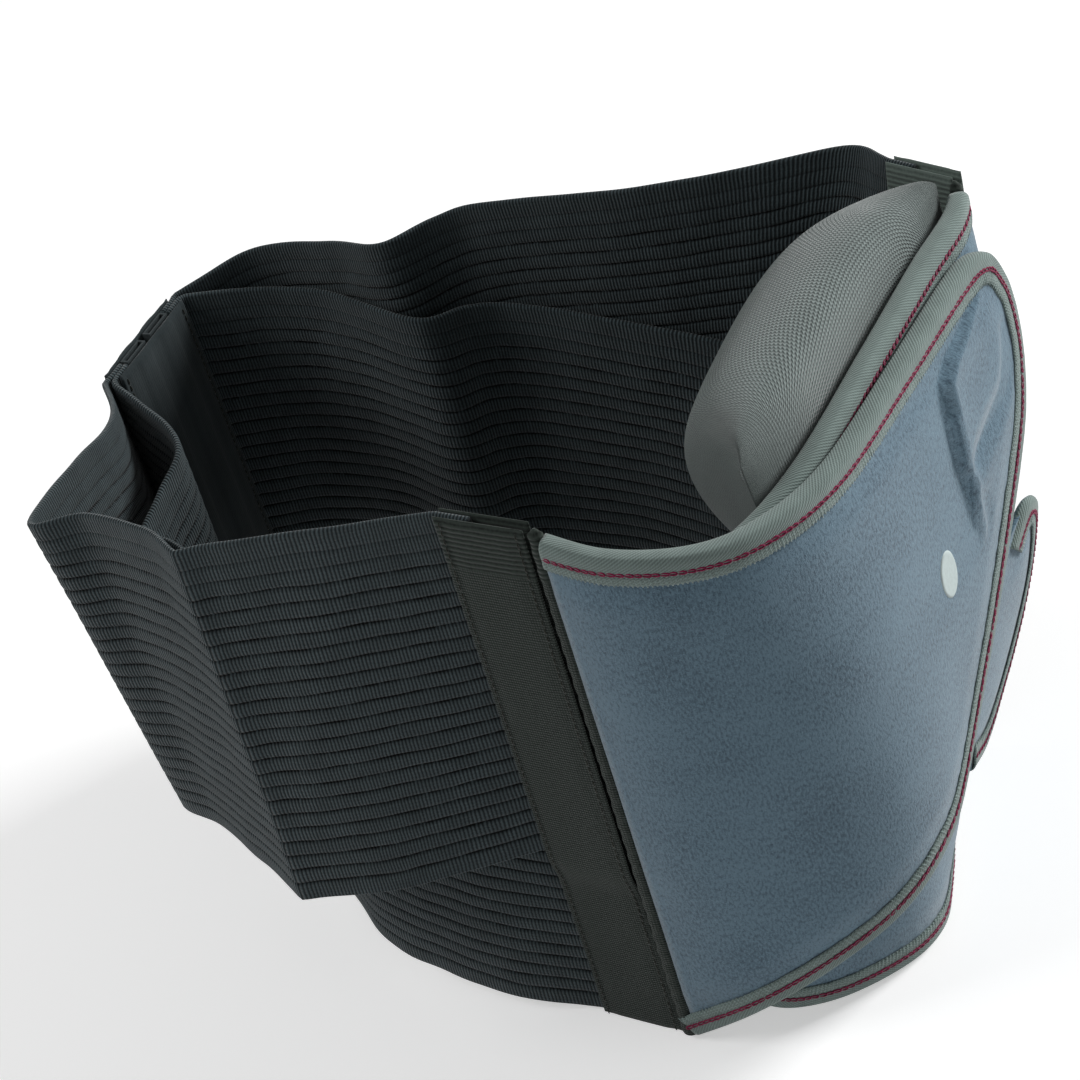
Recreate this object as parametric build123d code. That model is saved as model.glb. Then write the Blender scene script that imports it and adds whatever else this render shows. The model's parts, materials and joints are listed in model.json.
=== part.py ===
"""Lumbar support belt, closed into a loop and standing on its lower edges.

Millimetres.  +Z is up, the front closure faces -Y, and the wearer stands in the middle of the loop.
The near side is the -X side, where the outer flap is sewn on.  The far side is +X.
"""
from build123d import *
import math
import os

# ---------------------------------------------------------------- driving dimensions
belt_height = 235.0          # side tapes, lower edge to upper edge
waist_length = 975.0         # loop length round the wearer
band_width = 150.0           # each elastic band, selvedge to selvedge
band_thickness = 2.2
tape_width = 32.0            # woven side tapes
tape_thickness = 1.5
band_tuck = 12.0             # length of band held inside the near tape
far_band_gap = 0.6           # between the far bands and the swelled back edge of their tape
far_band_spread = 0.4        # the far lower band leaves its tape this much further in
layer_gap = 0.2              # between sewn layers of one body
patch_gap = 0.4              # between a sewn patch and its sheet
moving_gap = 0.5             # between layers that come apart

face_thickness = 1.6         # brushed loop face of the flaps
foam_thickness = 2.2
lining_thickness = 0.8
binding_width = 7.5
binding_thickness = 0.6
binding_clearance = 0.3      # between the binding and the sheet that it wraps
stitch_width = 1.2
stitch_inset = 0.4           # from the binding's inner edge
row_inset = 2.4              # stitch rows of the tapes and the strip, from their edges
row_width = 0.8
stitch_height = 0.4
seam_cord_diameter = 4.6     # folded cord in the side seams
hook_thickness = 1.2
loop_patch_thickness = 0.5

strip_width = 48.0           # centre back strip
strip_cover_thickness = 2.0
stay_length = 136.0
stay_width = 11.0
stay_thickness = 1.2
stay_clearance = 0.35        # between a stay and its pocket
pocket_wall = 0.8
stay_pitch = 17.0            # centre distance of the two stays

pad_thickness = 46.0
pad_top = 241.0              # highest line of the padded insert
pad_bottom = 104.0
pad_cover_thickness = 1.4
dot_radius = 9.0
dot_thickness = 0.4
dot_station, dot_height = 4.87, 147.0
dot_lift = 0.5               # off the curved face at its middle
tab_thickness = 1.8
tab_ease = 0.3               # more room in the tab's binding, because the tab curves two ways

# The plan points below are drawn for this loop length and follow any other one in proportion.
drawn_waist_length = 975.0
plan = waist_length / drawn_waist_length

edge_room = binding_thickness + binding_clearance
span_steps = 3               # straight steps in each span of a curved sheet
flap_thickness = face_thickness + foam_thickness + lining_thickness + 2 * layer_gap
hook_depth = flap_thickness + patch_gap
under_loop_depth = hook_depth + hook_thickness + moving_gap
under_flap_depth = under_loop_depth + loop_patch_thickness + patch_gap
tab_depth = (flap_thickness - tab_thickness) / 2    # edge to edge with the flap, in its middle layer
landing_depth = under_flap_depth + flap_thickness + patch_gap
pad_hook_depth = landing_depth + loop_patch_thickness + moving_gap
pad_depth = pad_hook_depth + hook_thickness + patch_gap
fan_height = (belt_height - band_width) / 2    # rise of the lower edge from the tapes to the back

# ---------------------------------------------------------------- plan of the front wall
# Eight spans from the near side tape (station 0) to the far side tape (station 8).
front_top = [(-96, -120), (-91, -146), (-76, -168), (-55, -178), (-23, -179),
             (28, -167), (72, -155), (101, -148), (120, -138), (136, -125)]
front_bottom = [(-96, -120), (-82, -147), (-58, -167), (-29, -178), (-6, -178),
                (15, -166), (35, -150), (55, -131), (70, -112), (82, -98)]
belly = [0, 0, 0, 2, 5, 10, 17, 19, 13, 8]       # outward swell half way up
flare = [0, 0, 0, 0, 0, 0, 0, 3, 8, 12]          # more swell at the outer flap's free end
far_seam = 8.0                                   # station of the far side seam
far_tape_start = 6.0                             # front edge of the far tape, back from the seam
far_tape_depth = 6.3                             # its outer face, in from the outer flap's face
near_root = 0.215 / plan                         # station where the outer flap leaves its seam
far_root = far_seam - 0.44 / plan                # station where the under flap leaves its seam

# Flap outlines: station, lower edge and upper edge as shares of the belt's height.
outer_outline = [(near_root, 0.010, 0.985), (1.0, 0.068, 0.979), (2.0, 0.124, 0.970), (3.0, 0.165, 0.962),
                 (4.0, 0.213, 0.957), (4.5, 0.242, 0.956), (5.0, 0.300, 0.956), (5.5, 0.398, 0.956),
                 (6.0, 0.512, 0.955), (6.45, 0.608, 0.951), (6.8, 0.682, 0.930), (7.0, 0.752, 0.885),
                 (7.07, 0.800, 0.845)]
under_outline = [(far_root, 0.0, 0.986), (7.0, 0.0, 0.985), (6.0, 0.0, 0.982), (5.0, 0.0, 0.975),
                 (4.0, 0.0, 0.960), (3.2, 0.004, 0.942), (2.4, 0.010, 0.924), (1.7, 0.018, 0.902),
                 (1.2, 0.035, 0.864), (0.85, 0.075, 0.800), (0.70, 0.150, 0.720), (0.64, 0.300, 0.560)]
tab_outline = [(5.0, 0.232, 0.279), (5.5, 0.218, 0.378), (6.0, 0.234, 0.490), (6.45, 0.272, 0.542),
               (6.8, 0.337, 0.530), (7.0, 0.398, 0.485)]
tab_flare = [0, 0, 0, 0, 0, 0, 1.5, 6, 8, 12]    # swell of the closure tab, which stands out at its end
hook_outline = [(4.7, 0.42, 0.80), (5.1, 0.41, 0.86), (5.6, 0.49, 0.88), (6.0, 0.59, 0.88),
                (6.35, 0.68, 0.86), (6.5, 0.73, 0.82)]
loop_outline = [(3.6, 0.34, 0.86), (4.0, 0.30, 0.90), (5.5, 0.30, 0.91), (7.0, 0.32, 0.91), (7.3, 0.36, 0.88)]
strip_stations = (4.6, 5.2, 5.8, 6.4, 6.9)       # strips that hold the padded insert
strip_lows = (0.56, 0.80)
strip_share = 0.11

# ---------------------------------------------------------------- plan of the elastic bands
# From the side tape to the back: top x, y, bottom x, y, and the share of the fan reached there.
near_upper_plan = [(-117, -66, -127, -66, 0.02), (-134, -40, -144, -48, 0.07), (-148, -15, -157, -22, 0.12),
                   (-147, 5, -154, 4, 0.14), (-150, 32, -148, 34, 0.19), (-160, 51, -147, 58, 0.26),
                   (-125, 75, -120, 79, 0.49), (-92, 99, -92, 102, 0.79)]
near_lower_plan = [(-110, -62, -115, -62, 0.16), (-119, -30, -123, -32, 0.28), (-120, -5, -126, -8, 0.40),
                   (-115, 30, -116, 24, 0.52), (-112, 58, -112, 60, 0.61), (-117, 66, -118, 66, 0.66),
                   (-99, 74, -100, 76, 0.75), (-78, 86, -79, 89, 0.87)]
far_upper_plan = [(112, -84, 84, -56, 0.02), (92, -50, 84, -35, 0.15), (71, -12, 76, -5, 0.26),
                  (50, 38, 58, 42, 0.38), (39, 56, 44, 61, 0.48), (22, 69, 26, 76, 0.57),
                  (19, 99, 24, 104, 0.70), (8, 130, 14, 133, 0.81)]
far_lower_plan = [(85, -78, 68, -55, 0.14), (76, -47, 66, -25, 0.32), (61, -3, 61, 6, 0.49),
                  (46, 34, 46, 38, 0.64), (34, 46, 34, 51, 0.73), (17, 55, 18, 62, 0.80),
                  (12, 96, 14, 98, 0.88), (0, 123, 2, 126, 0.94)]
near_tape_back = (-104.0, -89.0)                 # back edge of the near tape, outer face
far_tape_back_top = (119.0, -106.0)
far_tape_back_bottom = (80.0, -83.0)
far_tape_back_swell = 0.5        # share of the seam's swell that is left at the tape's back edge
strip_centre = (-45.0, 139.0)
strip_turn = 18.8                                # degrees the back strip is turned from the X axis


# ---------------------------------------------------------------- shape functions
def along(points, t):
    """Catmull-Rom curve through points (numbers or tuples), t counted in points."""
    rows = [p if isinstance(p, tuple) else (p,) for p in points]
    rows = [tuple(2 * a - b for a, b in zip(rows[0], rows[1]))] + rows
    rows.append(tuple(2 * a - b for a, b in zip(rows[-1], rows[-2])))
    i = min(max(int(t), 0), len(rows) - 4)
    u = t - i
    a, b, c, d = rows[i:i + 4]
    return tuple(0.5 * (2 * q + (r - p) * u + (2 * p - 5 * q + 4 * r - w) * u * u
                        + (3 * q - p - 3 * r + w) * u ** 3) for p, q, r, w in zip(a, b, c, d))


def scaled(point):
    return tuple(plan * v for v in point[:2])


def front_frame(station):
    """Foot and head of the wall at a station, and its outward direction, all in plan."""
    foot, head = along(front_bottom, station), along(front_top, station)
    step = 0.02
    fore = [along(p, station + step) for p in (front_bottom, front_top)]
    back = [along(p, station - step) for p in (front_bottom, front_top)]
    run = [sum(f[k] - b[k] for f, b in zip(fore, back)) for k in (0, 1)]
    size = math.hypot(*run)
    return scaled(foot), scaled(head), (run[1] / size, -run[0] / size)


def front_point(station, z, outward, extra=0.0):
    """Point of the front wall: straight from foot to head, swelled half way up, moved outward."""
    foot, head, normal = front_frame(station)
    share = z / belt_height
    swell = (along(belly, station)[0] + extra) * 4 * share * (1 - share)
    return tuple(foot[k] + (head[k] - foot[k]) * share + normal[k] * (outward + swell) for k in (0, 1)) + (z,)


def ring(outer, inner):
    """Closed section between two lists of points that run the same way."""
    curves = [Edge.make_spline([Vector(*p) for p in line]) for line in (outer, inner)]
    ends = [Edge.make_line(Vector(*outer[k]), Vector(*inner[k])) for k in (0, -1)]
    return Wire([curves[0], ends[1], curves[1], ends[0]])


def more_at(extra, station):
    """Extra swell at a station, from a list or none."""
    return along(extra, station)[0] if extra else 0.0


def fine(rows, steps=span_steps):
    """The same rows with more of them, on a smooth curve through them."""
    return [along(rows, k / steps) for k in range((len(rows) - 1) * steps + 1)]


def outline_rows(outline):
    """Station, lower and upper height of a sheet, which leaves room for its binding at the floor."""
    return [(s, max(belt_height * low, edge_room), belt_height * high) for s, low, high in fine(outline)]


def front_layer(outline, outer, inner, extra=None):
    """Sheet of the front wall between two depths."""
    sections = []
    for station, low, high in outline_rows(outline):
        heights = [low + (high - low) * k / 3 for k in range(4)]
        sections.append(ring(*[[front_point(station, z, -depth, more_at(extra, station)) for z in heights]
                               for depth in (outer, inner)]))
    return Solid.make_loft(sections, True)


def edge_path(outline):
    """Points along a flap's free edge: out along the top, round the end and back along the bottom."""
    rows = outline_rows(outline)
    return [(station, high) for station, low, high in rows] + [(s, low) for s, low, high in reversed(rows)]


def surface_slopes(station, z, extra=None):
    """How the front wall runs per station and per millimetre of height."""
    step = 0.02
    ahead, behind = [Vector(*front_point(station + d, z, 0, more_at(extra, station + d)))
                     for d in (step, -step)]
    above, below = [Vector(*front_point(station, z + d, 0, more_at(extra, station))) for d in (0.5, -0.5)]
    return (ahead - behind) / (2 * step), above - below


def edge_frames(path, extra=None):
    """For each spot of a free edge: station, height and how both change per millimetre into the sheet."""
    spots = [Vector(*front_point(s, z, 0, more_at(extra, s))) for s, z in path]
    mean_height = sum(z for _, z in path) / len(path)
    middle = Vector(*front_point((path[0][0] + path[len(path) // 2][0]) / 2, mean_height, 0))
    result, last = [], None
    for k, (station, z) in enumerate(path):
        per_station, per_height = surface_slopes(station, z, extra)
        run = spots[min(k + 1, len(spots) - 1)] - spots[max(k - 1, 0)]
        inward = run.cross(per_station.cross(per_height)).normalized()
        if inward.dot(last or middle - spots[k]) < 0:
            inward = -inward
        last = inward
        if k in (0, len(path) - 1):
            inward = per_height.normalized() * math.copysign(1, inward.dot(per_height))
        across, up = per_station.dot(per_station), per_height.dot(per_height)
        mixed = per_station.dot(per_height)
        first, second = inward.dot(per_station), inward.dot(per_height)
        det = across * up - mixed * mixed
        result.append((station, z, (first * up - second * mixed) / det,
                       (second * across - first * mixed) / det))
    return result


def tube(sections):
    """Closed solid with a straight-sided skin between polygons of as many corners."""
    faces = [Face(Wire.make_polygon(section)) for section in (sections[0], sections[-1])]
    for first, second in zip(sections[:-1], sections[1:]):
        for k in range(len(first)):
            after = (k + 1) % len(first)
            sides = [Edge.make_line(section[k], section[after]) for section in (first, second)]
            faces.append(Face.make_surface_from_curves(*sides))
    return Solid(Shell(faces))


def edge_profile(frames, corners, depth, extra=None):
    """Loft of one polygon along a free edge: corners are (outward, inward from the edge)."""
    sections = []
    for station, z, by_station, by_height in frames:
        spots = [(station + b * by_station, z + b * by_height, a - depth) for a, b in corners]
        sections.append([Vector(*front_point(s, height, a, more_at(extra, s))) for s, height, a in spots])
    return tube(sections)


def binding_corners(thickness):
    """U-shaped section of the binding, open towards a sheet of this thickness."""
    low, high = -thickness - binding_clearance, binding_clearance
    wall, floor = binding_thickness, -binding_clearance
    return [(high + wall, binding_width), (high + wall, floor - wall), (low - wall, floor - wall),
            (low - wall, binding_width), (low, binding_width), (low, floor), (high, floor),
            (high, binding_width)]


def stitch_corners():
    """Flat section of the stitch row that lies on the binding's outer leg."""
    low = binding_clearance + binding_thickness + layer_gap
    near = binding_width - stitch_inset
    far = near - stitch_width
    return [(low, near), (low + stitch_height, near), (low + stitch_height, far), (low, far)]


def band(rows, outward_sign):
    """Elastic band: a thin upright section carried through rows of centre points, foot to head."""
    sections = []
    for k, row in enumerate(rows):
        ahead, behind = rows[min(k + 1, len(rows) - 1)], rows[max(k - 1, 0)]
        run = (ahead[0] - behind[0]) + (ahead[-1] - behind[-1])
        normal = Vector(run.Y, -run.X, 0).normalized() * outward_sign * band_thickness / 2
        sections.append(ring([p + normal for p in row], [p - normal for p in row]))
    return Solid.make_loft(sections, True)


def band_rows(tape_rows, drawn, strip_ends, upper):
    """Centre points of a band from inside the side tape to inside the back strip."""
    first = tape_rows[-1]
    curve = [(first[-1].X, first[-1].Y, first[0].X, first[0].Y, 0.0)]
    curve += [scaled(row[:2]) + scaled(row[2:4]) + (row[4],) for row in drawn]
    curve.append(strip_ends[0] * 2 + (1.0,))
    rows = list(tape_rows)
    in_strip = [ends * 2 + (1.0,) for ends in strip_ends[1:]]
    for top_x, top_y, foot_x, foot_y, share in fine(curve)[1:] + in_strip:
        upright = math.sqrt(band_width ** 2 - (top_x - foot_x) ** 2 - (top_y - foot_y) ** 2)
        top_z = belt_height - fan_height * share if upper else fan_height * share + upright
        foot, head = Vector(foot_x, foot_y, top_z - upright), Vector(top_x, top_y, top_z)
        rows.append([foot + (head - foot) * k / 3 for k in range(4)])
    return rows


pieces = {}


def save(shape, name):
    pieces[name] = shape


def write_all():
    """Centre the belt over the origin with its lowest edge at height 0, and write each piece."""
    box = Compound(list(pieces.values())).bounding_box()
    shift = Vector(-(box.min.X + box.max.X) / 2, -(box.min.Y + box.max.Y) / 2, -box.min.Z)
    print("moved by", shift, "size", box.size)
    for name, shape in pieces.items():
        export_step(shape.moved(Location(shift)), f"parts/{name}.step")


# ---------------------------------------------------------------- side tapes
sandwich = 2 * band_thickness + 3 * layer_gap    # two bands and the gaps about them
tape_stack = sandwich + 2 * tape_thickness


def near_tape_point(distance, depth):
    """Point of the near tape in plan: distance back from its front edge, depth in from its outer face."""
    front, back = scaled(front_top[0]), scaled(near_tape_back)
    size = math.dist(front, back)
    run = [(back[k] - front[k]) / size for k in (0, 1)]
    return tuple(front[k] + run[k] * distance + (run[1], -run[0])[k] * depth for k in (0, 1))


def far_tape_point(distance, depth, z):
    """Point of the far tape: it leans and swells as the front wall does at its seam."""
    share = z / belt_height
    foot, head, seam_normal = front_frame(far_seam)
    back_foot, back_head = scaled(far_tape_back_bottom), scaled(far_tape_back_top)
    middle_run = [(back_foot[k] + back_head[k] - foot[k] - head[k]) / 2 for k in (0, 1)]
    size = math.hypot(*middle_run)
    inward = (-middle_run[1] / size, middle_run[0] / size)
    swell = 4 * share * (1 - share)
    push = (seam_normal[0] * belly[8] * swell, seam_normal[1] * belly[8] * swell)
    front = [foot[k] + (head[k] - foot[k]) * share + push[k] for k in (0, 1)]
    back = [back_foot[k] + (back_head[k] - back_foot[k]) * share + push[k] * far_tape_back_swell
            for k in (0, 1)]
    part_way = (distance + far_tape_start) / (tape_width + far_tape_start)
    return tuple(front[k] + (back[k] - front[k]) * part_way + inward[k] * (depth + far_tape_depth)
                 for k in (0, 1)) + (z,)


def near_tape(outer, inner):
    corners = [near_tape_point(d, depth) for d, depth in
               ((0, outer), (tape_width, outer), (tape_width, inner), (0, inner))]
    return extrude(Face(Wire.make_polygon([Vector(*c, 0) for c in corners])), belt_height, dir=(0, 0, 1))


def far_tape_layer(outer, inner, near_edge=0.0, far_edge=tape_width, inset=0.0):
    """Upright layer of the far tape between two depths and two distances from its front edge."""
    sections = []
    for z in [inset + (belt_height - 2 * inset) * k / 6 for k in range(7)]:
        corners = [far_tape_point(d, depth, z) for d, depth in
                   ((near_edge, outer), (far_edge, outer), (far_edge, inner), (near_edge, inner))]
        sections.append(Wire.make_polygon([Vector(*c) for c in corners]))
    return Solid.make_loft(sections, True)


def tape_rows(point_at, low, distances):
    """Upright rows of points of a band end, at distances from its tape's front edge."""
    rows = []
    for distance in distances:
        foot, head = Vector(*point_at(distance, low)), Vector(*point_at(distance, low + band_width))
        rows.append([foot + (head - foot) * k / 3 for k in range(4)])
    return rows


# ---------------------------------------------------------------- centre back strip
turn = math.radians(strip_turn)


def strip_point(across, outward):
    """Plan point of the back strip: across its width, and outward from its middle layer."""
    base = scaled(strip_centre)
    return (base[0] + across * math.cos(turn) - outward * math.sin(turn),
            base[1] + across * math.sin(turn) + outward * math.cos(turn))


def strip_block(across, outward, low, high):
    """Upright block in the strip: across and outward are (low, high) pairs."""
    corners = [strip_point(a, o) for a, o in ((across[0], outward[0]), (across[1], outward[0]),
                                              (across[1], outward[1]), (across[0], outward[1]))]
    face = Face(Wire.make_polygon([Vector(*c, low) for c in corners]))
    return extrude(face, high - low, dir=(0, 0, 1))


strip_low, strip_high = fan_height, fan_height + band_width
pocket_width = stay_width + 2 * (stay_clearance + pocket_wall)
band_stop = stay_pitch / 2 + pocket_width / 2 + 1.0       # bands end this far from the strip's middle
layer_middle = (band_thickness + layer_gap) / 2           # middle of each band layer in the strip


def strip_ends(side, outward):
    return [strip_point(side * (strip_width / 2 + 3.0), outward * 1.7),
            strip_point(side * (strip_width / 2 + 0.4), outward), strip_point(side * band_stop, outward)]


# ---------------------------------------------------------------- padded insert
# Station, fullness and share of its height reached there.
pad_outline = [(3.7, 0.16, 0.30), (4.0, 0.52, 0.62), (4.5, 0.86, 0.88), (5.1, 1.0, 1.0),
               (5.8, 0.98, 1.0), (6.5, 0.84, 0.95), (7.1, 0.55, 0.80), (7.45, 0.20, 0.50)]
station_pitch = 34.0 * plan  # wall length of one station where the pad lies


def pad_body(skin):
    """Pillow whose back follows the under flap, inset all round by skin."""
    sections = []
    rows = [list(row) for row in pad_outline]
    rows[0][0] += skin / station_pitch
    rows[-1][0] -= skin / station_pitch
    for station, full, reach in rows:
        top = pad_top - skin
        low = pad_top - (pad_top - pad_bottom) * reach + skin
        back_depth = pad_depth + skin
        swell = max(pad_thickness * full - 2 * skin, 1.0)
        backs = [front_point(station, low + (top - low) * k / 3, -back_depth) for k in range(4)]
        bulge = [(0, 0), (0.06, 0.55), (0.3, 0.93), (0.55, 1.0), (0.8, 0.9), (0.96, 0.5), (1, 0)]
        front = [front_point(station, low + (top - low) * up, -back_depth - swell * out) for up, out in bulge]
        back = Edge.make_spline([Vector(*p) for p in backs])
        sections.append(Wire([back, Edge.make_spline([Vector(*p) for p in front])]))
    return Solid.make_loft(sections)


# ---------------------------------------------------------------- build
def build_root():
    inner_start = tape_thickness + layer_gap + band_thickness + layer_gap
    depths = {"upper": tape_thickness + layer_gap + band_thickness / 2,
              "lower": inner_start + band_thickness / 2}
    save(near_tape(0, tape_thickness), "near_tape_outer")
    save(near_tape(tape_thickness + sandwich, tape_stack), "near_tape_inner")
    save(far_tape_layer(0, tape_thickness), "far_tape_outer")
    save(far_tape_layer(tape_thickness + sandwich, tape_stack), "far_tape_inner")
    bands = (("near_upper_band", near_upper_plan, -1, "upper"),
             ("near_lower_band", near_lower_plan, -1, "lower"),
             ("far_upper_band", far_upper_plan, 1, "upper"),
             ("far_lower_band", far_lower_plan, 1, "lower"))
    for name, drawn, side, level in bands:
        upper = level == "upper"
        low = belt_height - band_width if upper else 0.0
        depth = depths[level]
        if side < 0:
            tucked = (tape_width - band_tuck, tape_width + 1.0)
            ends = tape_rows(lambda d, z: near_tape_point(d, depth) + (z,), low, tucked)
        else:
            spread = 0.0 if upper else far_band_spread
            ends = tape_rows(lambda d, z: far_tape_point(d, depth + spread, z), low,
                             (tape_width + far_band_gap,))
        strip = strip_ends(side, layer_middle if upper else -layer_middle)
        save(band(band_rows(ends, drawn, strip, upper), side), name)
    cover = band_thickness + 1.5 * layer_gap
    half = strip_width / 2
    outer = (cover, cover + strip_cover_thickness)
    save(strip_block((-half, half), outer, strip_low, strip_high), "back_strip_outer")
    save(strip_block((-half, half), (-outer[1], -outer[0]), strip_low, strip_high), "back_strip_inner")
    for side, name in ((-1, "near"), (1, "far")):
        middle = side * stay_pitch / 2
        room = stay_width / 2 + stay_clearance
        deep = stay_thickness / 2 + stay_clearance
        shell = strip_block((middle - room - pocket_wall, middle + room + pocket_wall),
                            (-deep - pocket_wall, deep + pocket_wall), strip_low, strip_high)
        hole = strip_block((middle - room, middle + room), (-deep, deep), strip_low + 2, strip_high + 1)
        save(shell - hole, f"stay_pocket_{name}")
        stay = strip_block((middle - stay_width / 2, middle + stay_width / 2),
                           (-stay_thickness / 2, stay_thickness / 2),
                           strip_low + 2.3, strip_low + 2.3 + stay_length)
        save(stay, f"stay_{name}")


def build_stitch_rows():
    """Two upright rows of thread on each side tape and on the back strip."""
    near, far, back = [], [], []
    lift = -layer_gap - stitch_height
    for edge in (row_inset, tape_width - row_inset):
        corners = [near_tape_point(d, depth) for d, depth in
                   ((edge, -layer_gap), (edge + row_width, -layer_gap),
                    (edge + row_width, lift), (edge, lift))]
        near.append(extrude(Face(Wire.make_polygon([Vector(*c, 1) for c in corners])), belt_height - 2,
                            dir=(0, 0, 1)))
        far.append(far_tape_layer(lift, -layer_gap, edge, edge + row_width, 1.0))
    cover = band_thickness + 1.5 * layer_gap + strip_cover_thickness + layer_gap
    for edge in (row_inset - strip_width / 2, strip_width / 2 - row_inset):
        back.append(strip_block((edge - row_width / 2, edge + row_width / 2), (cover, cover + stitch_height),
                                strip_low + 1, strip_high - 1))
    for rows, name in ((near, "near_tape_stitching"), (far, "far_tape_stitching"),
                       (back, "back_strip_stitching")):
        save(Compound(rows), name)


def seam_cord(point_at):
    """Round folded cord that closes a side seam, from the lower to the upper edge."""
    sections = []
    for z in [belt_height * k / 6 for k in range(7)]:
        x, y = point_at(z)
        sections.append(Wire.make_circle(seam_cord_diameter / 2, Plane(origin=(x, y, z))))
    return Solid.make_loft(sections)


def far_seam_middle(z):
    """Middle between the under flap's root and the front face of the far tape."""
    root = front_point(far_root, z, -under_flap_depth - flap_thickness / 2)
    tape = far_tape_point(0, tape_stack / 2, z)
    return tuple((root[k] + tape[k]) / 2 for k in (0, 1))


def build_seams():
    reach = seam_cord_diameter / 2 + layer_gap
    middle = seam_cord_diameter / 2
    save(seam_cord(lambda z: near_tape_point(-reach, middle)), "near_seam_cord")
    save(seam_cord(far_seam_middle), "far_seam_cord")


def build_flap(name, outline, depth, extra=None):
    """Face, foam and lining of a flap, its binding and the stitch row on the binding."""
    top = depth
    for layer, thick in (("face", face_thickness), ("foam", foam_thickness), ("lining", lining_thickness)):
        save(front_layer(outline, top, top + thick, extra), f"{name}_{layer}")
        top += thick + layer_gap
    frames = edge_frames(edge_path(outline), extra)
    save(edge_profile(frames, binding_corners(flap_thickness), depth, extra), f"{name}_binding")
    save(edge_profile(frames, stitch_corners(), depth, extra), f"{name}_stitching")


def build_patches():
    """Hook and loop patches of the closure, and the strips that hold the padded insert."""
    save(front_layer(hook_outline, hook_depth, hook_depth + hook_thickness, flare), "outer_hook_patch")
    save(front_layer(loop_outline, under_loop_depth, under_loop_depth + loop_patch_thickness),
         "under_loop_patch")
    for name, depth, thick in (("pad_landing_strips", landing_depth, loop_patch_thickness),
                               ("pad_hook_strips", pad_hook_depth, hook_thickness)):
        strips = [front_layer([(s, low, low + strip_share) for s in strip_stations], depth, depth + thick)
                  for low in strip_lows]
        save(Compound(strips), name)


def build_tab():
    """Bound tab sewn edge to edge to the outer flap's lower free edge."""
    save(front_layer(tab_outline, tab_depth, tab_depth + tab_thickness, tab_flare), "closure_tab")
    frames = edge_frames(edge_path(tab_outline), tab_flare)
    corners = binding_corners(tab_thickness + 2 * tab_ease)
    save(edge_profile(frames, corners, tab_depth - tab_ease, tab_flare), "closure_tab_binding")


def build_dot():
    """Round spot printed proud of the outer flap's face."""
    x, y, z = front_point(dot_station, dot_height, dot_lift)
    per_station, per_height = surface_slopes(dot_station, dot_height, flare)
    spot = Plane(origin=(x, y, z), z_dir=per_station.cross(per_height))
    save(extrude(Face(Wire.make_circle(dot_radius, spot)), dot_thickness, dir=tuple(spot.z_dir)), "size_dot")


def build_pad():
    save(pad_body(0) - pad_body(pad_cover_thickness), "pad_cover")
    save(pad_body(pad_cover_thickness + layer_gap), "pad_foam")


os.makedirs("parts", exist_ok=True)
build_root()
build_stitch_rows()
build_seams()
build_flap("outer_flap", outer_outline, 0.0, flare)
build_flap("under_flap", under_outline, under_flap_depth)
build_patches()
build_tab()
build_dot()
build_pad()
write_all()
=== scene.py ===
"""Lumbar support belt: fabric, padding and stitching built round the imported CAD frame.

Shapes are worked out in drawing millimetres, as in the part's own source, and moved into the row frame
when a piece is made.  The front wall has stations 0 (near side tape) to 8 (far side tape).
"""

import json
import math

import bpy
import numpy as np
from bpy.props import FloatProperty, FloatVectorProperty, PointerProperty
from mathutils import Matrix, Vector


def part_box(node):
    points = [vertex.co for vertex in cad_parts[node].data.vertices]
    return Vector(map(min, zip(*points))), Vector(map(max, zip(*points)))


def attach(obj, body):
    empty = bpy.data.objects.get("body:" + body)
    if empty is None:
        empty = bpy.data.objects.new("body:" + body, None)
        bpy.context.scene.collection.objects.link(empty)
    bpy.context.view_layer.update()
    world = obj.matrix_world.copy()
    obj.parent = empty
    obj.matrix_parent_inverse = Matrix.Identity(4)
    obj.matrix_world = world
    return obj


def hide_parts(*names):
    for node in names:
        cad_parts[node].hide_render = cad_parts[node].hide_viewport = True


bl_info = {
    "name": "Lumbar support belt",
    "version": (1, 0, 0),
    "blender": (4, 5, 0),
    "location": "3D View > Sidebar > Belt",
    "description": "Builds a lumbar support belt's fabric, padding and stitching round its CAD frame",
    "category": "Mesh",
}

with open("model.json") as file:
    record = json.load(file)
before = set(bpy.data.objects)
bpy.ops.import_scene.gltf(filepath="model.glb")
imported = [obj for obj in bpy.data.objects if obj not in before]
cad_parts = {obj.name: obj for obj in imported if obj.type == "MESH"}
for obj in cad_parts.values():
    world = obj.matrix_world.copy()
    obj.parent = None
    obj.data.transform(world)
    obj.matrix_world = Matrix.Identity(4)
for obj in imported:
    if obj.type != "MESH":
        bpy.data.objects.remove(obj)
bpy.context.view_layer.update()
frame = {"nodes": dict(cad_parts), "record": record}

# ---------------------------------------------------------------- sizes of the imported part, mm
MM = 1000.0
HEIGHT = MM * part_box("near_tape_outer")[1][2]
PEEL_LINE = (-93.148, -121.846)  # the outer flap's hinge line in the drawing's plan
PEEL_JOINT = next(j for j in frame["record"]["behaviour"]["joints"] if j["name"] == "outer_flap_peel")
SHIFT = np.array([MM * PEEL_JOINT["pos_m"][k] - PEEL_LINE[k] for k in (0, 1)] + [0.0])
BAND_WIDTH, BAND_THICKNESS = 150.0, 2.2
TAPE_WIDTH, TAPE_THICKNESS, BAND_TUCK = 32.0, 1.5, 12.0
FAR_BAND_GAP, FAR_BAND_SPREAD = 0.6, 0.4
LAYER_GAP, PATCH_GAP, MOVING_GAP = 0.2, 0.4, 0.5
FACE, FOAM, LINING = 1.6, 2.2, 0.8
BINDING_WIDTH, BINDING_THICKNESS, BINDING_CLEARANCE = 6.0, 0.6, 0.3
STITCH_INSET, STITCH_WIDTH, ROW_INSET = 0.4, 1.2, 2.4
CORD_DIAMETER = 4.6
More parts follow.
